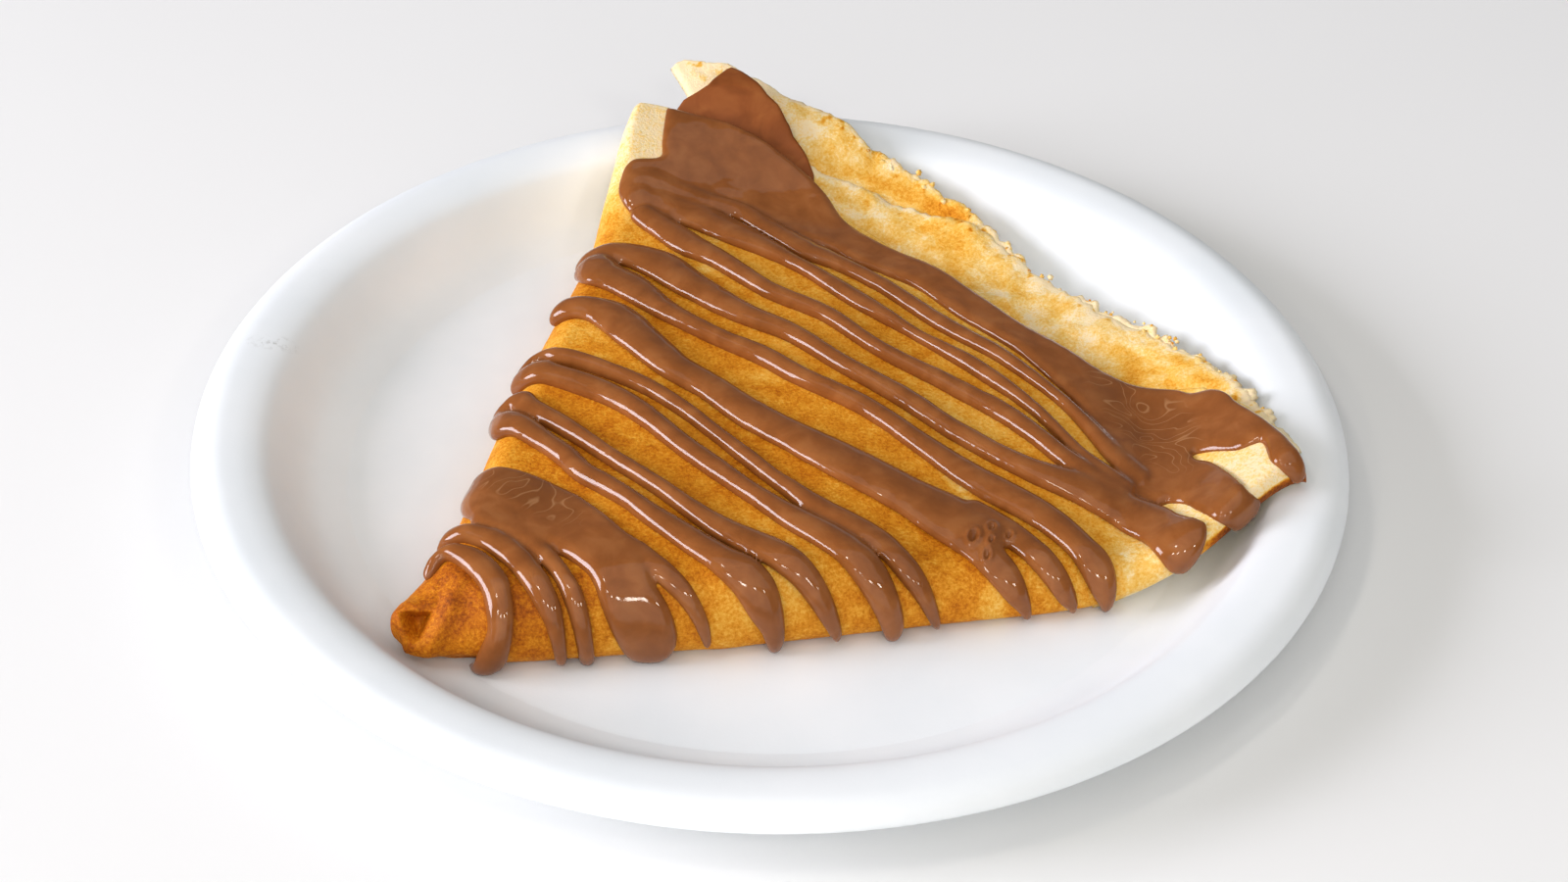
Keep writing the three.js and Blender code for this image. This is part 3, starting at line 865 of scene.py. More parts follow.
ball_rise = np.linspace(-1.45, 1.45, BALL_ROWS)[:, None]
ball = np.stack([np.cos(ball_rise) * np.cos(ball_turn), np.cos(ball_rise) * np.sin(ball_turn),
                 np.sin(ball_rise) + 0 * ball_turn], -1).reshape(-1, 3)
centres = np.stack([x, y, z], -1)[:, None, :]
shapes = ball[None] * crumb_size[:, None, None] * draw.uniform(0.6, 1.3, (CRUMBS, len(ball), 1))
crumb_points = rest((centres + shapes).reshape(-1, 3))
ball_faces = grid_faces(BALL_ROWS, BALL_COLUMNS, True)
crumb_faces = (ball_faces[None] + len(ball) * np.arange(CRUMBS)[:, None, None]).reshape(-1, 4)
crumb_tone = np.repeat(draw.uniform(0.0, 0.55, CRUMBS), len(ball))
new_piece("crumbs_of_rim", crumb_points, crumb_faces, griddled, "crepe", toast=crumb_tone)

# %% [markdown]
# ## Chocolate hazelnut spread
#
# The spread is fat with cocoa, sugar and ground nuts in it. It is opaque and mid brown, a little
# redder in thin places, and as it flows its surface levels out and shines like satin. Cocoa
# butter's refractive index is about 1.46. The two widest puddles get painted light: pale swirling
# lines, a painted reflection of a glare on their ripples, drawn where a slow noise passes the same
# few values, and painted shade that makes them darker. The spread inside the crepe soaked into
# the batter and has lost its shine.


# %% Chocolate materials
STIRRING = 12 * MM
# steps that turn a noise into the thin pale lines of the painted reflection
GLARE_LINE_STEPS = (("MULTIPLY", 9.0), ("FRACT", 0.0), ("SUBTRACT", 0.5), ("ABSOLUTE", 0.0))


def spread(name, colours, satin, shine):
    """Chocolate paste. colours are three browns and satin is its range of roughness."""
    material = new_material(name)
    where = add(material, "ShaderNodeTexCoord").outputs["Object"]
    stirred = add(material, "ShaderNodeTexNoise", {"Vector": where, "Scale": per_mm(14), "Detail": 2})
    bent = add(material, "ShaderNodeVectorMath", {
        0: stirred.outputs["Color"], 1: (STIRRING, STIRRING, STIRRING),
    }, operation="MULTIPLY")
    moved = add(material, "ShaderNodeVectorMath", {0: where, 1: bent.outputs[0]}, operation="ADD")
    paste = add(material, "ShaderNodeTexNoise", {
        "Vector": moved.outputs[0], "Scale": per_mm(6), "Detail": 3,
    })
    mixed = add(material, "ShaderNodeValToRGB", {"Fac": paste.outputs["Fac"]},
                stops=list(zip((0.32, 0.5, 0.68), colours)))
    # painted light on the widest puddles: mixed darker for painted shade, with pale lines for a painted
    # reflection
    swirls = add(material, "ShaderNodeAttribute", attribute_name="swirls").outputs["Fac"]
    folds = add(material, "ShaderNodeTexNoise", {
        "Vector": moved.outputs[0], "Scale": per_mm(16), "Detail": 0, "Distortion": 1.2,
    })
    from_line = folds.outputs["Fac"]
    for operation, amount in GLARE_LINE_STEPS:
        counted = add(material, "ShaderNodeMath", {0: from_line, 1: amount}, operation=operation)
        from_line = counted.outputs[0]
    line = add(material, "ShaderNodeMapRange", {
        "Value": from_line, "From Min": 0.07, "From Max": 0.01, "To Max": 0.4,
    })
    painted_shade_share = add(material, "ShaderNodeMath", {0: swirls, 1: 0.4}, operation="MULTIPLY")
    shaded_paste = add(material, "ShaderNodeMix", {
        "Factor": painted_shade_share.outputs[0], "A": mixed.outputs[0], "B": linear("#6a3c18"),
    }, data_type="RGBA")
    glare_line_share = add(material, "ShaderNodeMath", {0: line.outputs[0], 1: swirls}, operation="MULTIPLY")
    colour = add(material, "ShaderNodeMix", {
        "Factor": glare_line_share.outputs[0], "A": shaded_paste.outputs["Result"], "B": linear("#b98a5e"),
    }, data_type="RGBA")
    gloss = add(material, "ShaderNodeMapRange", {
        "Value": stirred.outputs["Fac"], "To Min": satin[0], "To Max": satin[1],
    })
    grit = add(material, "ShaderNodeTexNoise", {"Vector": where, "Scale": per_mm(1.5), "Detail": 2})
    relief = add(material, "ShaderNodeBump", {
        "Height": grit.outputs["Fac"], "Strength": 0.03, "Distance": 0.2 * MM,
    })
    return finish_material(material, add(material, "ShaderNodeBsdfPrincipled", {
        "Base Color": colour.outputs["Result"], "Roughness": gloss.outputs[0], "IOR": 1.46,
        "Specular IOR Level": shine, "Subsurface Weight": 0.06, "Subsurface Radius": (1.0, 0.4, 0.15),
        "Subsurface Scale": 0.8 * MM, "Normal": relief.outputs[0],
    }))


drizzled = spread("drizzled_hazelnut_spread", ("#7e481f", "#884f24", "#92592d"), (0.04, 0.1), 0.42)
soaked = spread("soaked_hazelnut_spread", ("#7a4018", "#86481e", "#925426"), (0.5, 0.65), 0.2)
print("made", drizzled.name, "and", soaked.name)

# %% [markdown]
# ## A surface from a field
#
# Poured spread has no grid to follow: strands run together, split round holes and end in drops.
# A field makes that easy. Every point of a fine lattice over the skin gets a number that is
# positive inside the spread, strands are joined by a soft maximum, and the surface is drawn where
# the field is zero. This is the surface-nets method: one point in each lattice cell that the
# surface crosses, at the mean of its crossings, and one face across each crossed lattice edge.


# %% Surface nets
def surface_of(field):
    """Points, in lattice steps, and faces of the surface where the field is zero."""
    inside = field > 0
    cells = tuple(n - 1 for n in field.shape)
    count = np.zeros(cells, np.int8)
    for a, b, c in np.ndindex(2, 2, 2):
        count += inside[a:cells[0] + a, b:cells[1] + b, c:cells[2] + c]
    active = (count > 0) & (count < 8)
    number = np.full(cells, -1, np.int64)
    number[active] = np.arange(active.sum())
    corner = np.argwhere(active)
    total = np.zeros((len(corner), 3))
    crossings = np.zeros(len(corner))
    quads = []
    for axis in range(3):
        step = np.eye(3, dtype=int)[axis]
        others = [np.eye(3, dtype=int)[k] for k in range(3) if k != axis]
        for u, v in np.ndindex(2, 2):
            near = corner + u * others[0] + v * others[1]
            low, high = field[tuple(near.T)], field[tuple((near + step).T)]
            crossed = (low > 0) != (high > 0)
            t = np.where(crossed, low / np.where(crossed, low - high, 1), 0)
            total += crossed[:, None] * (near - corner + t[:, None] * step)
            crossings += crossed
        low = np.take(inside, np.arange(field.shape[axis] - 1), axis)
        high = np.take(inside, np.arange(1, field.shape[axis]), axis)
        edges = np.argwhere(low != high)
        limits = np.array(cells)
        ok = np.all([(edges[:, k] >= 1) & (edges[:, k] < limits[k]) for k in range(3) if k != axis], 0)
        edges = edges[ok]
        rising = low[tuple(edges.T)]
        ring = [edges, edges - others[0], edges - others[0] - others[1], edges - others[1]]
        quad = np.stack([number[tuple(r.T)] for r in ring], -1)
        flip = rising if axis != 1 else ~rising
        quad[~flip] = quad[~flip][:, ::-1]
        quads.append(quad)
    return corner + total / crossings[:, None], np.vstack(quads)


ball_field = 4.2 - np.linalg.norm(np.indices((11, 11, 11)) - 5, axis=0)
print("a test ball has", len(surface_of(ball_field)[1]), "faces")

# %% [markdown]
# ## The drizzle
#
# The cook swung a thin stream from left to right and back, starting at the tip. Each pass is a
# list of stations: the place across the wedge, from 0 on the left fold to 1 on the front fold and
# beyond it down the side, the distance from the tip, and the width of the strand there.

# %% Drizzle passes
PASSES = {
    "tip_strand": (2.6, [
        [0.2, 15.6, 1.4], [0.17, 17.2, 2.8], [0.16, 19.2, 3.8], [0.19, 21.2, 4.2], [0.26, 22, 4.4],
        [0.36, 22.3, 4.8], [0.5, 22.7, 5.8], [0.64, 22.9, 6.3], [0.78, 22.7, 6.2], [0.9, 22, 6],
        [1.02, 21.4, 5.8], [1.14, 20.4, 6.6], [1.26, 19, 7.8], [1.36, 18.4, 7.6],
    ]),
    "second_strand": (2.4, [
        [-0.02, 27.6, 3], [0.06, 28, 4.4], [0.16, 28.2, 4.8], [0.34, 29, 5.4], [0.5, 29.8, 6],
        [0.65, 30.3, 6], [0.78, 30.4, 5.6], [0.9, 31, 4.8], [1.01, 31.9, 4], [1.12, 32.4, 3.2],
        [1.22, 32.8, 2.6], [1.3, 33.2, 2],
    ]),
    "third_strand": (2.2, [
        [0.52, 33.6, 3.5], [0.64, 35.4, 4], [0.75, 35.9, 4], [0.86, 36.2, 3.8], [0.95, 36.8, 4],
        [1.05, 37.4, 3.8], [1.16, 37.9, 3.4], [1.26, 38.4, 3], [1.33, 38.7, 3.4],
    ]),
    "branch": (1.9, [
        [0.74, 51, 4], [0.82, 53, 5], [0.88, 55, 4.6], [0.93, 57, 4], [0.98, 59.2, 3.4],
        [1.03, 61.1, 2.9], [1.08, 62.5, 2.4], [1.12, 63.2, 1.6],
    ]),
    "u5_lower": (2.9, [
        [0, 69.5, 5], [0.05, 66.8, 7], [0.1, 65.6, 6.4], [0.2, 62.9, 5.3], [0.3, 60.9, 5.3],
        [0.4, 58.8, 5.3], [0.5, 58.8, 5.2], [0.6, 59.6, 4.8], [0.7, 61, 5.4], [0.8, 64.4, 6],
        [0.9, 69, 6.4], [0.95, 72.3, 7], [1, 74.9, 7], [1.05, 76.9, 5.2], [1.1, 77.8, 3.6],
        [1.14, 77.6, 2.2], [1.17, 77.2, 1.1],
    ]),
    "u5_upper": (2.9, [
        [0, 72, 5], [0.05, 74.8, 5.4], [0.1, 72.6, 4.7], [0.2, 70.4, 4.9], [0.3, 68.2, 4.3],
        [0.4, 66.9, 4], [0.5, 66.6, 4.3], [0.6, 67.6, 4.4], [0.7, 69.4, 4.8], [0.8, 73.2, 5.6],
        [0.9, 80.4, 6.4], [0.96, 84.6, 5.2], [1.02, 88.4, 4], [1.07, 91, 2.4], [1.1, 91.6, 1.1],
    ]),
    "u4_lower": (2.9, [
        [0, 86.5, 5], [0.05, 86.3, 7], [0.1, 85.6, 6], [0.2, 85, 6.2], [0.3, 84, 5.8],
        [0.4, 82.4, 5.6], [0.5, 81.4, 5.6], [0.6, 82.4, 5.6], [0.7, 84.4, 4.8], [0.8, 88.2, 5.8],
        [0.9, 95.2, 7], [0.96, 99, 6.6], [1.01, 101.9, 5.6], [1.05, 103.6, 4.6], [1.085, 103.8, 2.8],
        [1.11, 103.2, 1.1],
    ]),
    "u4_upper": (2.7, [
        [0, 89.5, 5], [0.05, 92.6, 3.6], [0.1, 92.5, 4.4], [0.2, 92, 4.2], [0.3, 91.6, 4.2],
        [0.4, 91, 4.2], [0.5, 90.4, 4], [0.6, 90.6, 4.2], [0.7, 92, 4.2], [0.8, 95.6, 5.6],
        [0.9, 104.2, 5.6], [0.95, 107.2, 5], [1, 110.8, 3.6], [1.04, 113, 2.2], [1.065, 114, 1.1],
    ]),
    "u3": (3.1, [
        [0.03, 111.5, 7], [0.1, 112.4, 8.6], [0.15, 109.8, 9.4], [0.2, 106.2, 9.2], [0.3, 101.6, 8.8],
        [0.4, 101.3, 8.4], [0.5, 101, 9], [0.6, 103.4, 9.2], [0.7, 108.2, 10.6], [0.8, 116, 10.4],
        [0.87, 123, 12], [0.92, 128.5, 9],
    ]),
    "u3_drip_low": (2.2, [
        [0.9, 124, 9], [0.95, 127, 6.6], [0.99, 130.6, 5], [1.02, 133.2, 2.8], [1.05, 134.6, 1.1],
    ]),
    "u3_drip_high": (2.5, [
        [0.86, 128, 7], [0.91, 133.5, 6], [0.96, 138, 5], [1, 142.2, 4], [1.02, 144.4, 2.4],
        [1.035, 145, 1.1],
    ]),
    "u2_lower": (2.9, [
        [0.03, 132, 8], [0.06, 128, 9], [0.1, 126.2, 8.6], [0.2, 120, 6], [0.3, 117.8, 5],
        [0.4, 118.8, 5.4], [0.5, 119.6, 5], [0.6, 124.2, 5.4], [0.7, 128, 5.8], [0.8, 134, 7],
        [0.9, 144, 6.6], [0.96, 148.8, 6.4], [0.99, 151.4, 6.2], [1.015, 152.8, 4], [1.035, 153, 2.2],
        [1.05, 152.6, 1],
    ]),
    "u2_upper": (2.9, [
        [0.02, 136, 8], [0.06, 138.8, 8.4], [0.12, 138, 9.4], [0.2, 132.8, 8.4], [0.3, 129.6, 7],
        [0.4, 130.4, 5.6], [0.5, 130.2, 5], [0.6, 134, 5.8], [0.7, 138.4, 5.4], [0.8, 146.4, 5.6],
        [0.87, 158.2, 8.8], [0.93, 166.4, 9.4], [0.965, 168.6, 9], [0.99, 170.8, 8.4], [1, 172.6, 7.4],
    ]),
    "a": (2.7, [
        [0.065, 156, 5.6], [0.1, 153, 6.6], [0.15, 148.6, 7.2], [0.2, 146.3, 5.8], [0.3, 141.6, 5],
        [0.4, 142.6, 5], [0.5, 142, 4.4], [0.6, 146.6, 5], [0.7, 152.6, 5.2], [0.8, 156.8, 5],
        [0.88, 164, 6],
    ]),
    "b": (2.6, [
        [0.055, 161, 8], [0.1, 161.5, 8.4], [0.15, 161, 9.4], [0.2, 159, 8.6], [0.25, 157.4, 6],
        [0.3, 156, 4.4], [0.4, 153.8, 6], [0.5, 154, 3.4], [0.6, 156.8, 4.6], [0.7, 159.6, 3.4],
        [0.8, 161.2, 3.4], [0.87, 166, 6],
    ]),
    "c": (2.4, [
        [0.055, 165, 9], [0.12, 166.5, 7], [0.17, 169, 5.6], [0.21, 167.4, 5.8], [0.25, 165.4, 6.6],
        [0.29, 164.2, 7.4], [0.33, 164.2, 5.6], [0.4, 163.8, 4.8], [0.5, 162.6, 5], [0.6, 165.2, 4.2],
        [0.7, 167.6, 3.4], [0.8, 168.6, 5], [0.86, 171, 6],
    ]),
}
print(len(PASSES), "passes of drizzle")

# %% [markdown]
# ## Pools
#
# Where the stream lingered, strands ran together into pools: a long one along the edge of the top
# sheet, with a lobe at its left end and two tongues at its right end, and one near the tip that
# runs down over the front fold. A pool is an outline in the same two numbers.

# %% Pools
POOLS = {
    "edge_pool": (1.9, 2.6, [
        [0.043, 188.6], [0.071, 189.6], [0.11, 190.8], [0.15, 190.8], [0.19, 189.4], [0.22, 188],
        [0.25, 185.6], [0.28, 182], [0.32, 179.9], [0.36, 179.4], [0.42, 180.4], [0.48, 179.3],
        [0.55, 178.8], [0.61, 181.2], [0.67, 183.6], [0.726, 187.3], [0.771, 192.6], [0.793, 194.2],
        [0.813, 197.6], [0.836, 198.8], [0.86, 198.6], [0.904, 199.6], [0.954, 200.6], [0.984, 201.4],
        [0.997, 202], [1.009, 201.8], [1.014, 199.6], [1.004, 197.6], [0.996, 196.2], [0.98, 194.6],
        [0.961, 195.2], [0.941, 196], [0.933, 194], [0.921, 191.2], [0.891, 187.8], [0.871, 184.6],
        [0.88, 184.2], [0.904, 186], [0.939, 186.6], [0.983, 187], [1, 188.8], [1.013, 190.6],
        [1.028, 189], [1.034, 185], [1.02, 183.2], [0.989, 178.4], [0.956, 176.8], [0.929, 175.8],
        [0.911, 173.2], [0.905, 170.4], [0.88, 166.4], [0.85, 164.6], [0.82, 167.6], [0.779, 168.8],
        [0.744, 169.6], [0.709, 170.2], [0.65, 170], [0.6, 169.8], [0.55, 169], [0.5, 168.2],
        [0.444, 169.6], [0.411, 169.6], [0.35, 168.2], [0.3, 168.6], [0.25, 167.8], [0.216, 168.6],
        [0.177, 170], [0.15, 170.4], [0.135, 167.5], [0.118, 160], [0.098, 155], [0.067, 153],
        [0.04, 156.5], [0.02, 160.2], [0.017, 164.2], [0.021, 167.6], [0.034, 170.4], [0.058, 173.6],
        [0.054, 177.6], [0.049, 182.2],
    ]),
    "tip_pool": (2.2, 2.6, [
        [0.086, 50.6], [0.2, 51.6], [0.33, 52.2], [0.48, 52.4], [0.62, 52.8], [0.74, 53.4],
        [0.833, 53.8], [0.89, 53.6], [0.93, 53.4], [1, 55.4], [1.06, 56.6], [1.11, 56.8], [1.17, 55],
        [1.22, 52.6], [1.28, 50.6], [1.28, 48.8], [1.21, 46.6], [1.1, 43.6], [1, 42], [0.87, 41.2],
        [0.8, 40.2], [0.74, 39.2], [0.69, 37.9], [0.66, 36.8], [0.65, 35], [0.61, 33.4], [0.5, 31.8],
        [0.38, 30.8], [0.28, 30.6], [0.2, 31.6], [0.15, 33.4], [0.08, 35.4], [0.02, 37.6], [-0.03, 41],
        [-0.02, 45], [0, 49],
    ]),
}
print(len(POOLS), "pools of drizzle")

# %% [markdown]
# ## The lattice
#
# The lattice covers the skin in steps of about half a millimetre, with a few layers below and
# above it. Bodies are joined by a soft maximum, which rounds the inside corner where they meet.

# %% Drizzle lattice
STEP = 0.55
LAYER = 0.4
DEPTH = 1.3
RHO_RANGE = (9.0, 204.0)
PLACE_RANGE = (-148.0, 128.0)
RISE_RANGE = (-1.6, 4.4)
JOIN = 0.7
STRAND_RISE = 1.12
WAIST = 0.3

lattice_rho = np.arange(*RHO_RANGE, STEP)
lattice_place = np.arange(*PLACE_RANGE, STEP)
lattice_rise = np.arange(*RISE_RANGE, LAYER)
field = np.full((len(lattice_rho), len(lattice_place), len(lattice_rise)), -3.0)


def fill(section, rows, columns):
    """Joins a body into part of the field by a soft maximum."""
    block = field[rows, columns]
    gap = np.abs(block - section)
    soft = JOIN / 4 * np.maximum(1 - gap / JOIN, 0) ** 2
    field[rows, columns] = np.maximum(block, section) + soft


def across_to_place(across, rho):
    """Place on the skin, in mm from the middle, of a share across the wedge."""
    return (1 - 2 * across) * half_arc(rho)


def stretch(values, low, high):
    """The part of a lattice axis that lies between low and high."""
    start, stop = np.searchsorted(values, (low, high))
    return slice(start, stop)


print("the lattice has", field.shape, "values")

# %% [markdown]
# ## Pouring into the lattice
#
# For a strand, the nearest station gives the distance from its middle, and its section is an
# ellipse that is widest a little above the skin, so that it casts the thin shadow that real
# strands have. For a pool, the distance from its outline gives a rounded border and a level
# middle.

# %% Strands and pools
def pour_strand(high, stations):
    """Adds one pass of the given height to the field."""
    curve = rounded(stations, 28)
    centre = np.stack([curve[:, 1], across_to_place(curve[:, 0], curve[:, 1])], -1)
    half = np.maximum(curve[:, 2] / 2, 0.4)
    margin = half.max() + 2
    rows = stretch(lattice_rho, centre[:, 0].min() - margin, centre[:, 0].max() + margin)
    columns = stretch(lattice_place, centre[:, 1].min() - margin, centre[:, 1].max() + margin)
    r, p = np.meshgrid(lattice_rho[rows], lattice_place[columns], indexing="ij")
    best = np.full(r.shape, 1e9)
    wide = np.ones(r.shape)
    for (x, y), w in zip(centre, half):
        q = ((r - x) ** 2 + (p - y) ** 2) / w ** 2
        closer = q < best
        best = np.where(closer, q, best)
        wide = np.where(closer, w, wide)
    top = STRAND_RISE * high * np.minimum(wide / 2.2, 1) ** 0.7
    waist = WAIST * top
    up = lattice_rise[None, None, :] - waist[..., None]
    radius = np.where(up > 0, (top - waist)[..., None], DEPTH + waist[..., None])
    section = (1 - np.sqrt(best[..., None] + (up / radius) ** 2)) * np.minimum(wide, top)[..., None]
    fill(section, rows, columns)


def pour_pool(high, border, outline):
    """Adds a pool whose surface rises over the width of its border."""
    loop = rounded(np.vstack([outline, outline[:1]]), 4)
    corners = np.stack([loop[:, 1], across_to_place(loop[:, 0], loop[:, 1])], -1)
    rows = stretch(lattice_rho, corners[:, 0].min() - 3, corners[:, 0].max() + 3)
    columns = stretch(lattice_place, corners[:, 1].min() - 3, corners[:, 1].max() + 3)
    r, p = np.meshgrid(lattice_rho[rows], lattice_place[columns], indexing="ij")
    distance = np.full(r.shape, 1e9)
    inside = np.zeros(r.shape, bool)
    for (x0, y0), (x1, y1) in zip(corners[:-1], corners[1:]):
        run_x, run_y = x1 - x0, y1 - y0
        t = np.clip(((r - x0) * run_x + (p - y0) * run_y) / (run_x ** 2 + run_y ** 2 + 1e-9), 0, 1)
        distance = np.minimum(distance, np.hypot(r - x0 - t * run_x, p - y0 - t * run_y))
        if y0 != y1:
            crosses = (y0 > p) != (y1 > p)
            inside ^= crosses & (r < x0 + (p - y0) / (y1 - y0) * run_x)
    signed = np.where(inside, distance, -distance)
    short = np.maximum(border - signed, 0)[..., None]
    ripple = 1 + 0.16 * noise(np.stack([r, p, 0 * r], -1), 9)
    up = lattice_rise[None, None, :]
    radius = np.where(up > 0, high * ripple[..., None], DEPTH)
    section = border - np.sqrt(short ** 2 + (up / radius * border) ** 2)
    fill(section * high / border, rows, columns)


for high, stations in PASSES.values():
    pour_strand(high, stations)
for high, border, outline in POOLS.values():
    pour_pool(high, border, outline)
print(int((field > 0).sum()), "of", field.size, "lattice points lie inside the spread")

# %% [markdown]
# ## From the field to a mesh
#
# The lattice gives small steps, so the mesh is levelled out a few times before it is laid on the
# skin. Air stirred into the spread came out of one thick strand and left a few small craters with
# a raised ring, and the two widest puddles are marked for their painted shade and painted
# reflection.

# %% Drizzle mesh
BUBBLES = [
    [124.6, 0.92, 1.7], [129.4, 0.91, 1.3], [132.6, 0.925, 1], [126, 0.952, 1.1], [128, 0.934, 0.9],
]
# the two widest puddles, which get painted shade and a painted reflection
GLARE_AND_SHADE_PUDDLES = [[182, 0.78, 9, 26], [46, 0.35, 6, 16]]


def level_out(points, faces, rounds):
    """Moves each point half way to the mean of its neighbours, as spread levels out by itself."""
    for _ in range(rounds):
        total, count = np.zeros_like(points), np.zeros(len(points))
        for near, far in ((0, 1), (1, 2), (2, 3), (3, 0)):
            for a, b in ((faces[:, near], faces[:, far]), (faces[:, far], faces[:, near])):
                for axis in range(3):
                    total[:, axis] += np.bincount(a, points[b, axis], len(points))
                count += np.bincount(a, minlength=len(points))
        points = (points + total / count[:, None]) / 2
    return points


net, choc_faces = surface_of(field)
net = level_out(net, choc_faces, 4)
choc_rho = RHO_RANGE[0] + net[:, 0] * STEP
choc_place = PLACE_RANGE[0] + net[:, 1] * STEP
choc_rise = RISE_RANGE[0] + net[:, 2] * LAYER
for bubble_rho, bubble_across, size in BUBBLES:
    away = np.hypot(choc_rho - bubble_rho, choc_place - across_to_place(bubble_across, bubble_rho))
    burst = 0.45 * bead(away, size, 0.45) - 0.9 * smooth(away, size, 0)
    choc_rise += burst * smooth(choc_rise, 1, 1.8)
under_points, under_normals, _ = skin(choc_rho, choc_place)
choc_points = rest(under_points + under_normals * choc_rise[:, None])
from_puddle = np.full(len(choc_rho), 1e9)
for puddle_rho, puddle_across, deep, long in GLARE_AND_SHADE_PUDDLES:
    off_middle = choc_place - across_to_place(puddle_across, choc_rho)
    from_puddle = np.minimum(from_puddle, np.hypot((choc_rho - puddle_rho) / deep, off_middle / long))
# how much painted shade and painted reflection each point of those puddles gets
glare_and_shade_share = smooth(from_puddle, 1.1, 0.7)
new_piece("chocolate_drizzle", choc_points, choc_faces, drizzled, "crepe", swirls=glare_and_shade_share)

# %% [markdown]
# ## The spread inside
#
# Between the puffed sheet and the lid lies a thin layer of spread. It shows as a dark line under
# the lip of the top sheet, and at the far left corner it was squeezed out over the puffed sheet
# in a matte, thick flap.

# %% Filling
OOZE_EDGE = [
    [-1, -0.4], [0.54, -0.5], [0.57, 4.5], [0.6, 6.4], [0.64, 7.4], [0.67, 9.6], [0.695, 12],
    [0.725, 13.2], [0.755, 15.6], [0.8, 18.6], [0.828, 19.4], [0.838, 15], [0.85, 10.4], [0.87, 8],
    [0.893, 5.8], [0.906, 2.8], [0.925, 0], [1, -0.8],
]
FILLING_GRID = (60, 400)
FILLING_SIDE = 0.95
FILLING_LEVEL = 0.56
rows, columns = FILLING_GRID
side = np.linspace(FILLING_SIDE, -FILLING_SIDE, columns)[None, :] * np.ones((rows, 1))
share_out = np.linspace(0, 1, rows)[:, None]
reach = along(TOP_EDGE, side) + along(OOZE_EDGE, side)
rho = LAYER_START + share_out * (reach - LAYER_START)
x, y = plan(rho, side)
height = stack_height(rho, side)
base = underside(rho, side) + curl(rho, side) + height * FILLING_LEVEL
near = np.minimum(reach - rho, (FILLING_SIDE - np.abs(side)) * half_arc(rho))
body = np.sqrt(1 - (1 - np.clip(near / 1.8, 0, 1)) ** 2)
flat = np.stack([x, y, 0 * x], -1)
swelling = 1 + 1.6 * smooth(rho, along(TOP_EDGE, side), along(TOP_EDGE, side) + 6)
lumps = 0.3 * noise(flat, 8, 2)
filling_top = np.stack([x, y, base + (0.8 * swelling + lumps) * body], -1)
filling_low = np.stack([x, y, base - 0.7 * body], -1)
new_piece("filling_spread", *closed_sheet(rest(filling_top), rest(filling_low)), soaked, "filling")

# %% [markdown]
# ## The table
#
# The plate stands on a plain pale table, painted satin, which a slow noise keeps from being one
# flat tone. It lies half a millimetre below the plate so that the two never share a plane.

# %% Table
paint = new_material("satin_table_paint")
table_place = add(paint, "ShaderNodeTexCoord").outputs["Object"]
table_tone = add(paint, "ShaderNodeTexNoise", {"Vector": table_place, "Scale": per_mm(350), "Detail": 2})
table_colour = add(paint, "ShaderNodeValToRGB", {"Fac": table_tone.outputs["Fac"]},
                   stops=[(0.2, "#ebecec"), (0.8, "#eff0f0")])
finish_material(paint, add(paint, "ShaderNodeBsdfPrincipled", {
    "Base Color": table_colour.outputs[0], "Roughness": 0.7, "Specular IOR Level": 0.2,
}))
TABLE_HALF = 4
TABLE_DROP = -0.0005
QUARTERS = ((-1, -1), (1, -1), (1, 1), (-1, 1))
table_corners = [(x * TABLE_HALF, y * TABLE_HALF, TABLE_DROP) for x, y in QUARTERS]
table_mesh = bpy.data.meshes.new("table")
table_mesh.from_pydata(table_corners, [], [(0, 1, 2, 3)])
table_mesh.materials.append(paint)
table = bpy.data.objects.new("table", table_mesh)
bpy.context.scene.collection.objects.link(table)
table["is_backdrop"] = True
print("table", 2 * TABLE_HALF, "m wide")

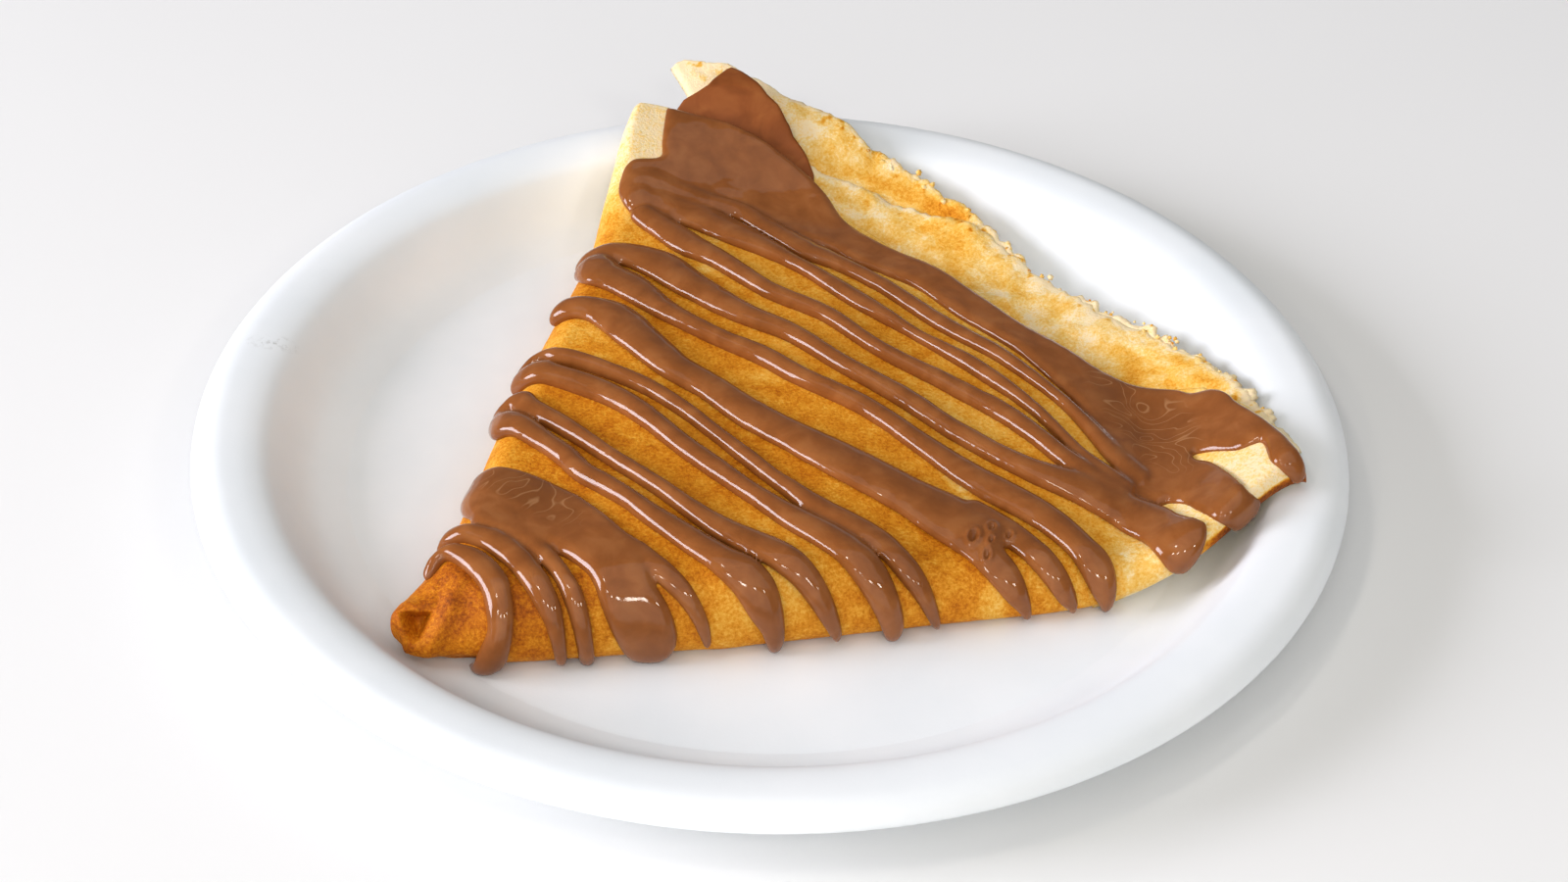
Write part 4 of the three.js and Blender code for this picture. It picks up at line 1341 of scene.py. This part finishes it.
# %% [markdown]
# ## Light
#
# A pale world, a large lamp overhead and a wide one in front, like a sunlit wall, light everything
# evenly and give gentle shadows. A window on the left draws the thin streaks on the strands, a low
# strip behind lifts the far edges, and small bulbs, one row of them in front, make the bright dots.

# %% World and lamps
world = bpy.data.worlds.new("pale_room")
world.use_nodes = True
background = world.node_tree.nodes["Background"]
background.inputs["Color"].default_value = linear("#ffffff")
background.inputs["Strength"].default_value = 0.2
bpy.context.scene.world = world
bpy.context.scene.view_settings.view_transform = "Standard"


def lamp(name, at, size, power, colour="#ffffff"):
    """A rectangular soft lamp of size (width, height) in metres, facing the plate."""
    data = bpy.data.lights.new(name, "AREA")
    data.shape = "RECTANGLE"
    data.size, data.size_y = size
    data.energy = power
    data.color = linear(colour)[:3]
    lit = bpy.data.objects.new(name, data)
    bpy.context.scene.collection.objects.link(lit)
    lit.location = at
    lit.rotation_euler = (-Vector(at)).to_track_quat("-Z", "Y").to_euler()


lamp("ceiling", (0.25, -0.45, 2.2), (3.2, 2.6), 16)
lamp("front_wall", (-0.2, -2.8, 1.15), (4.4, 2.0), 23)
lamp("left_window", (-2.35, -0.35, 0.85), (1.2, 1.15), 73, "#f8f6ff")
lamp("back_wall", (0.4, 2.4, 0.32), (2.6, 0.4), 0.7)
lamp("near_bulb", (-0.6, -0.5, 1.35), (0.13, 0.13), 1.8, "#fff4e6")

BULB_DISTANCE = 1.5
BULB_HEIGHT = math.radians(40)
BULB_BEARINGS = (-32, -12, 10, 38)
for number, bearing in enumerate(BULB_BEARINGS):
    flat_distance = BULB_DISTANCE * math.cos(BULB_HEIGHT)
    x = flat_distance * math.sin(math.radians(bearing))
    y = -flat_distance * math.cos(math.radians(bearing))
    z = BULB_DISTANCE * math.sin(BULB_HEIGHT)
    lamp(f"row_bulb_{number}", (x, y, z), (0.12, 0.12), 1.5, "#fff6ea")
print(len(bpy.data.lights), "lamps")

# %% [markdown]
# ## Sizes
#
# The last cell prints the box of the finished meshes, in millimetres.

# %% Sizes and the end
low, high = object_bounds()
print("visual box, mm:", [round(c / MM, 1) for c in (*low, *high)])
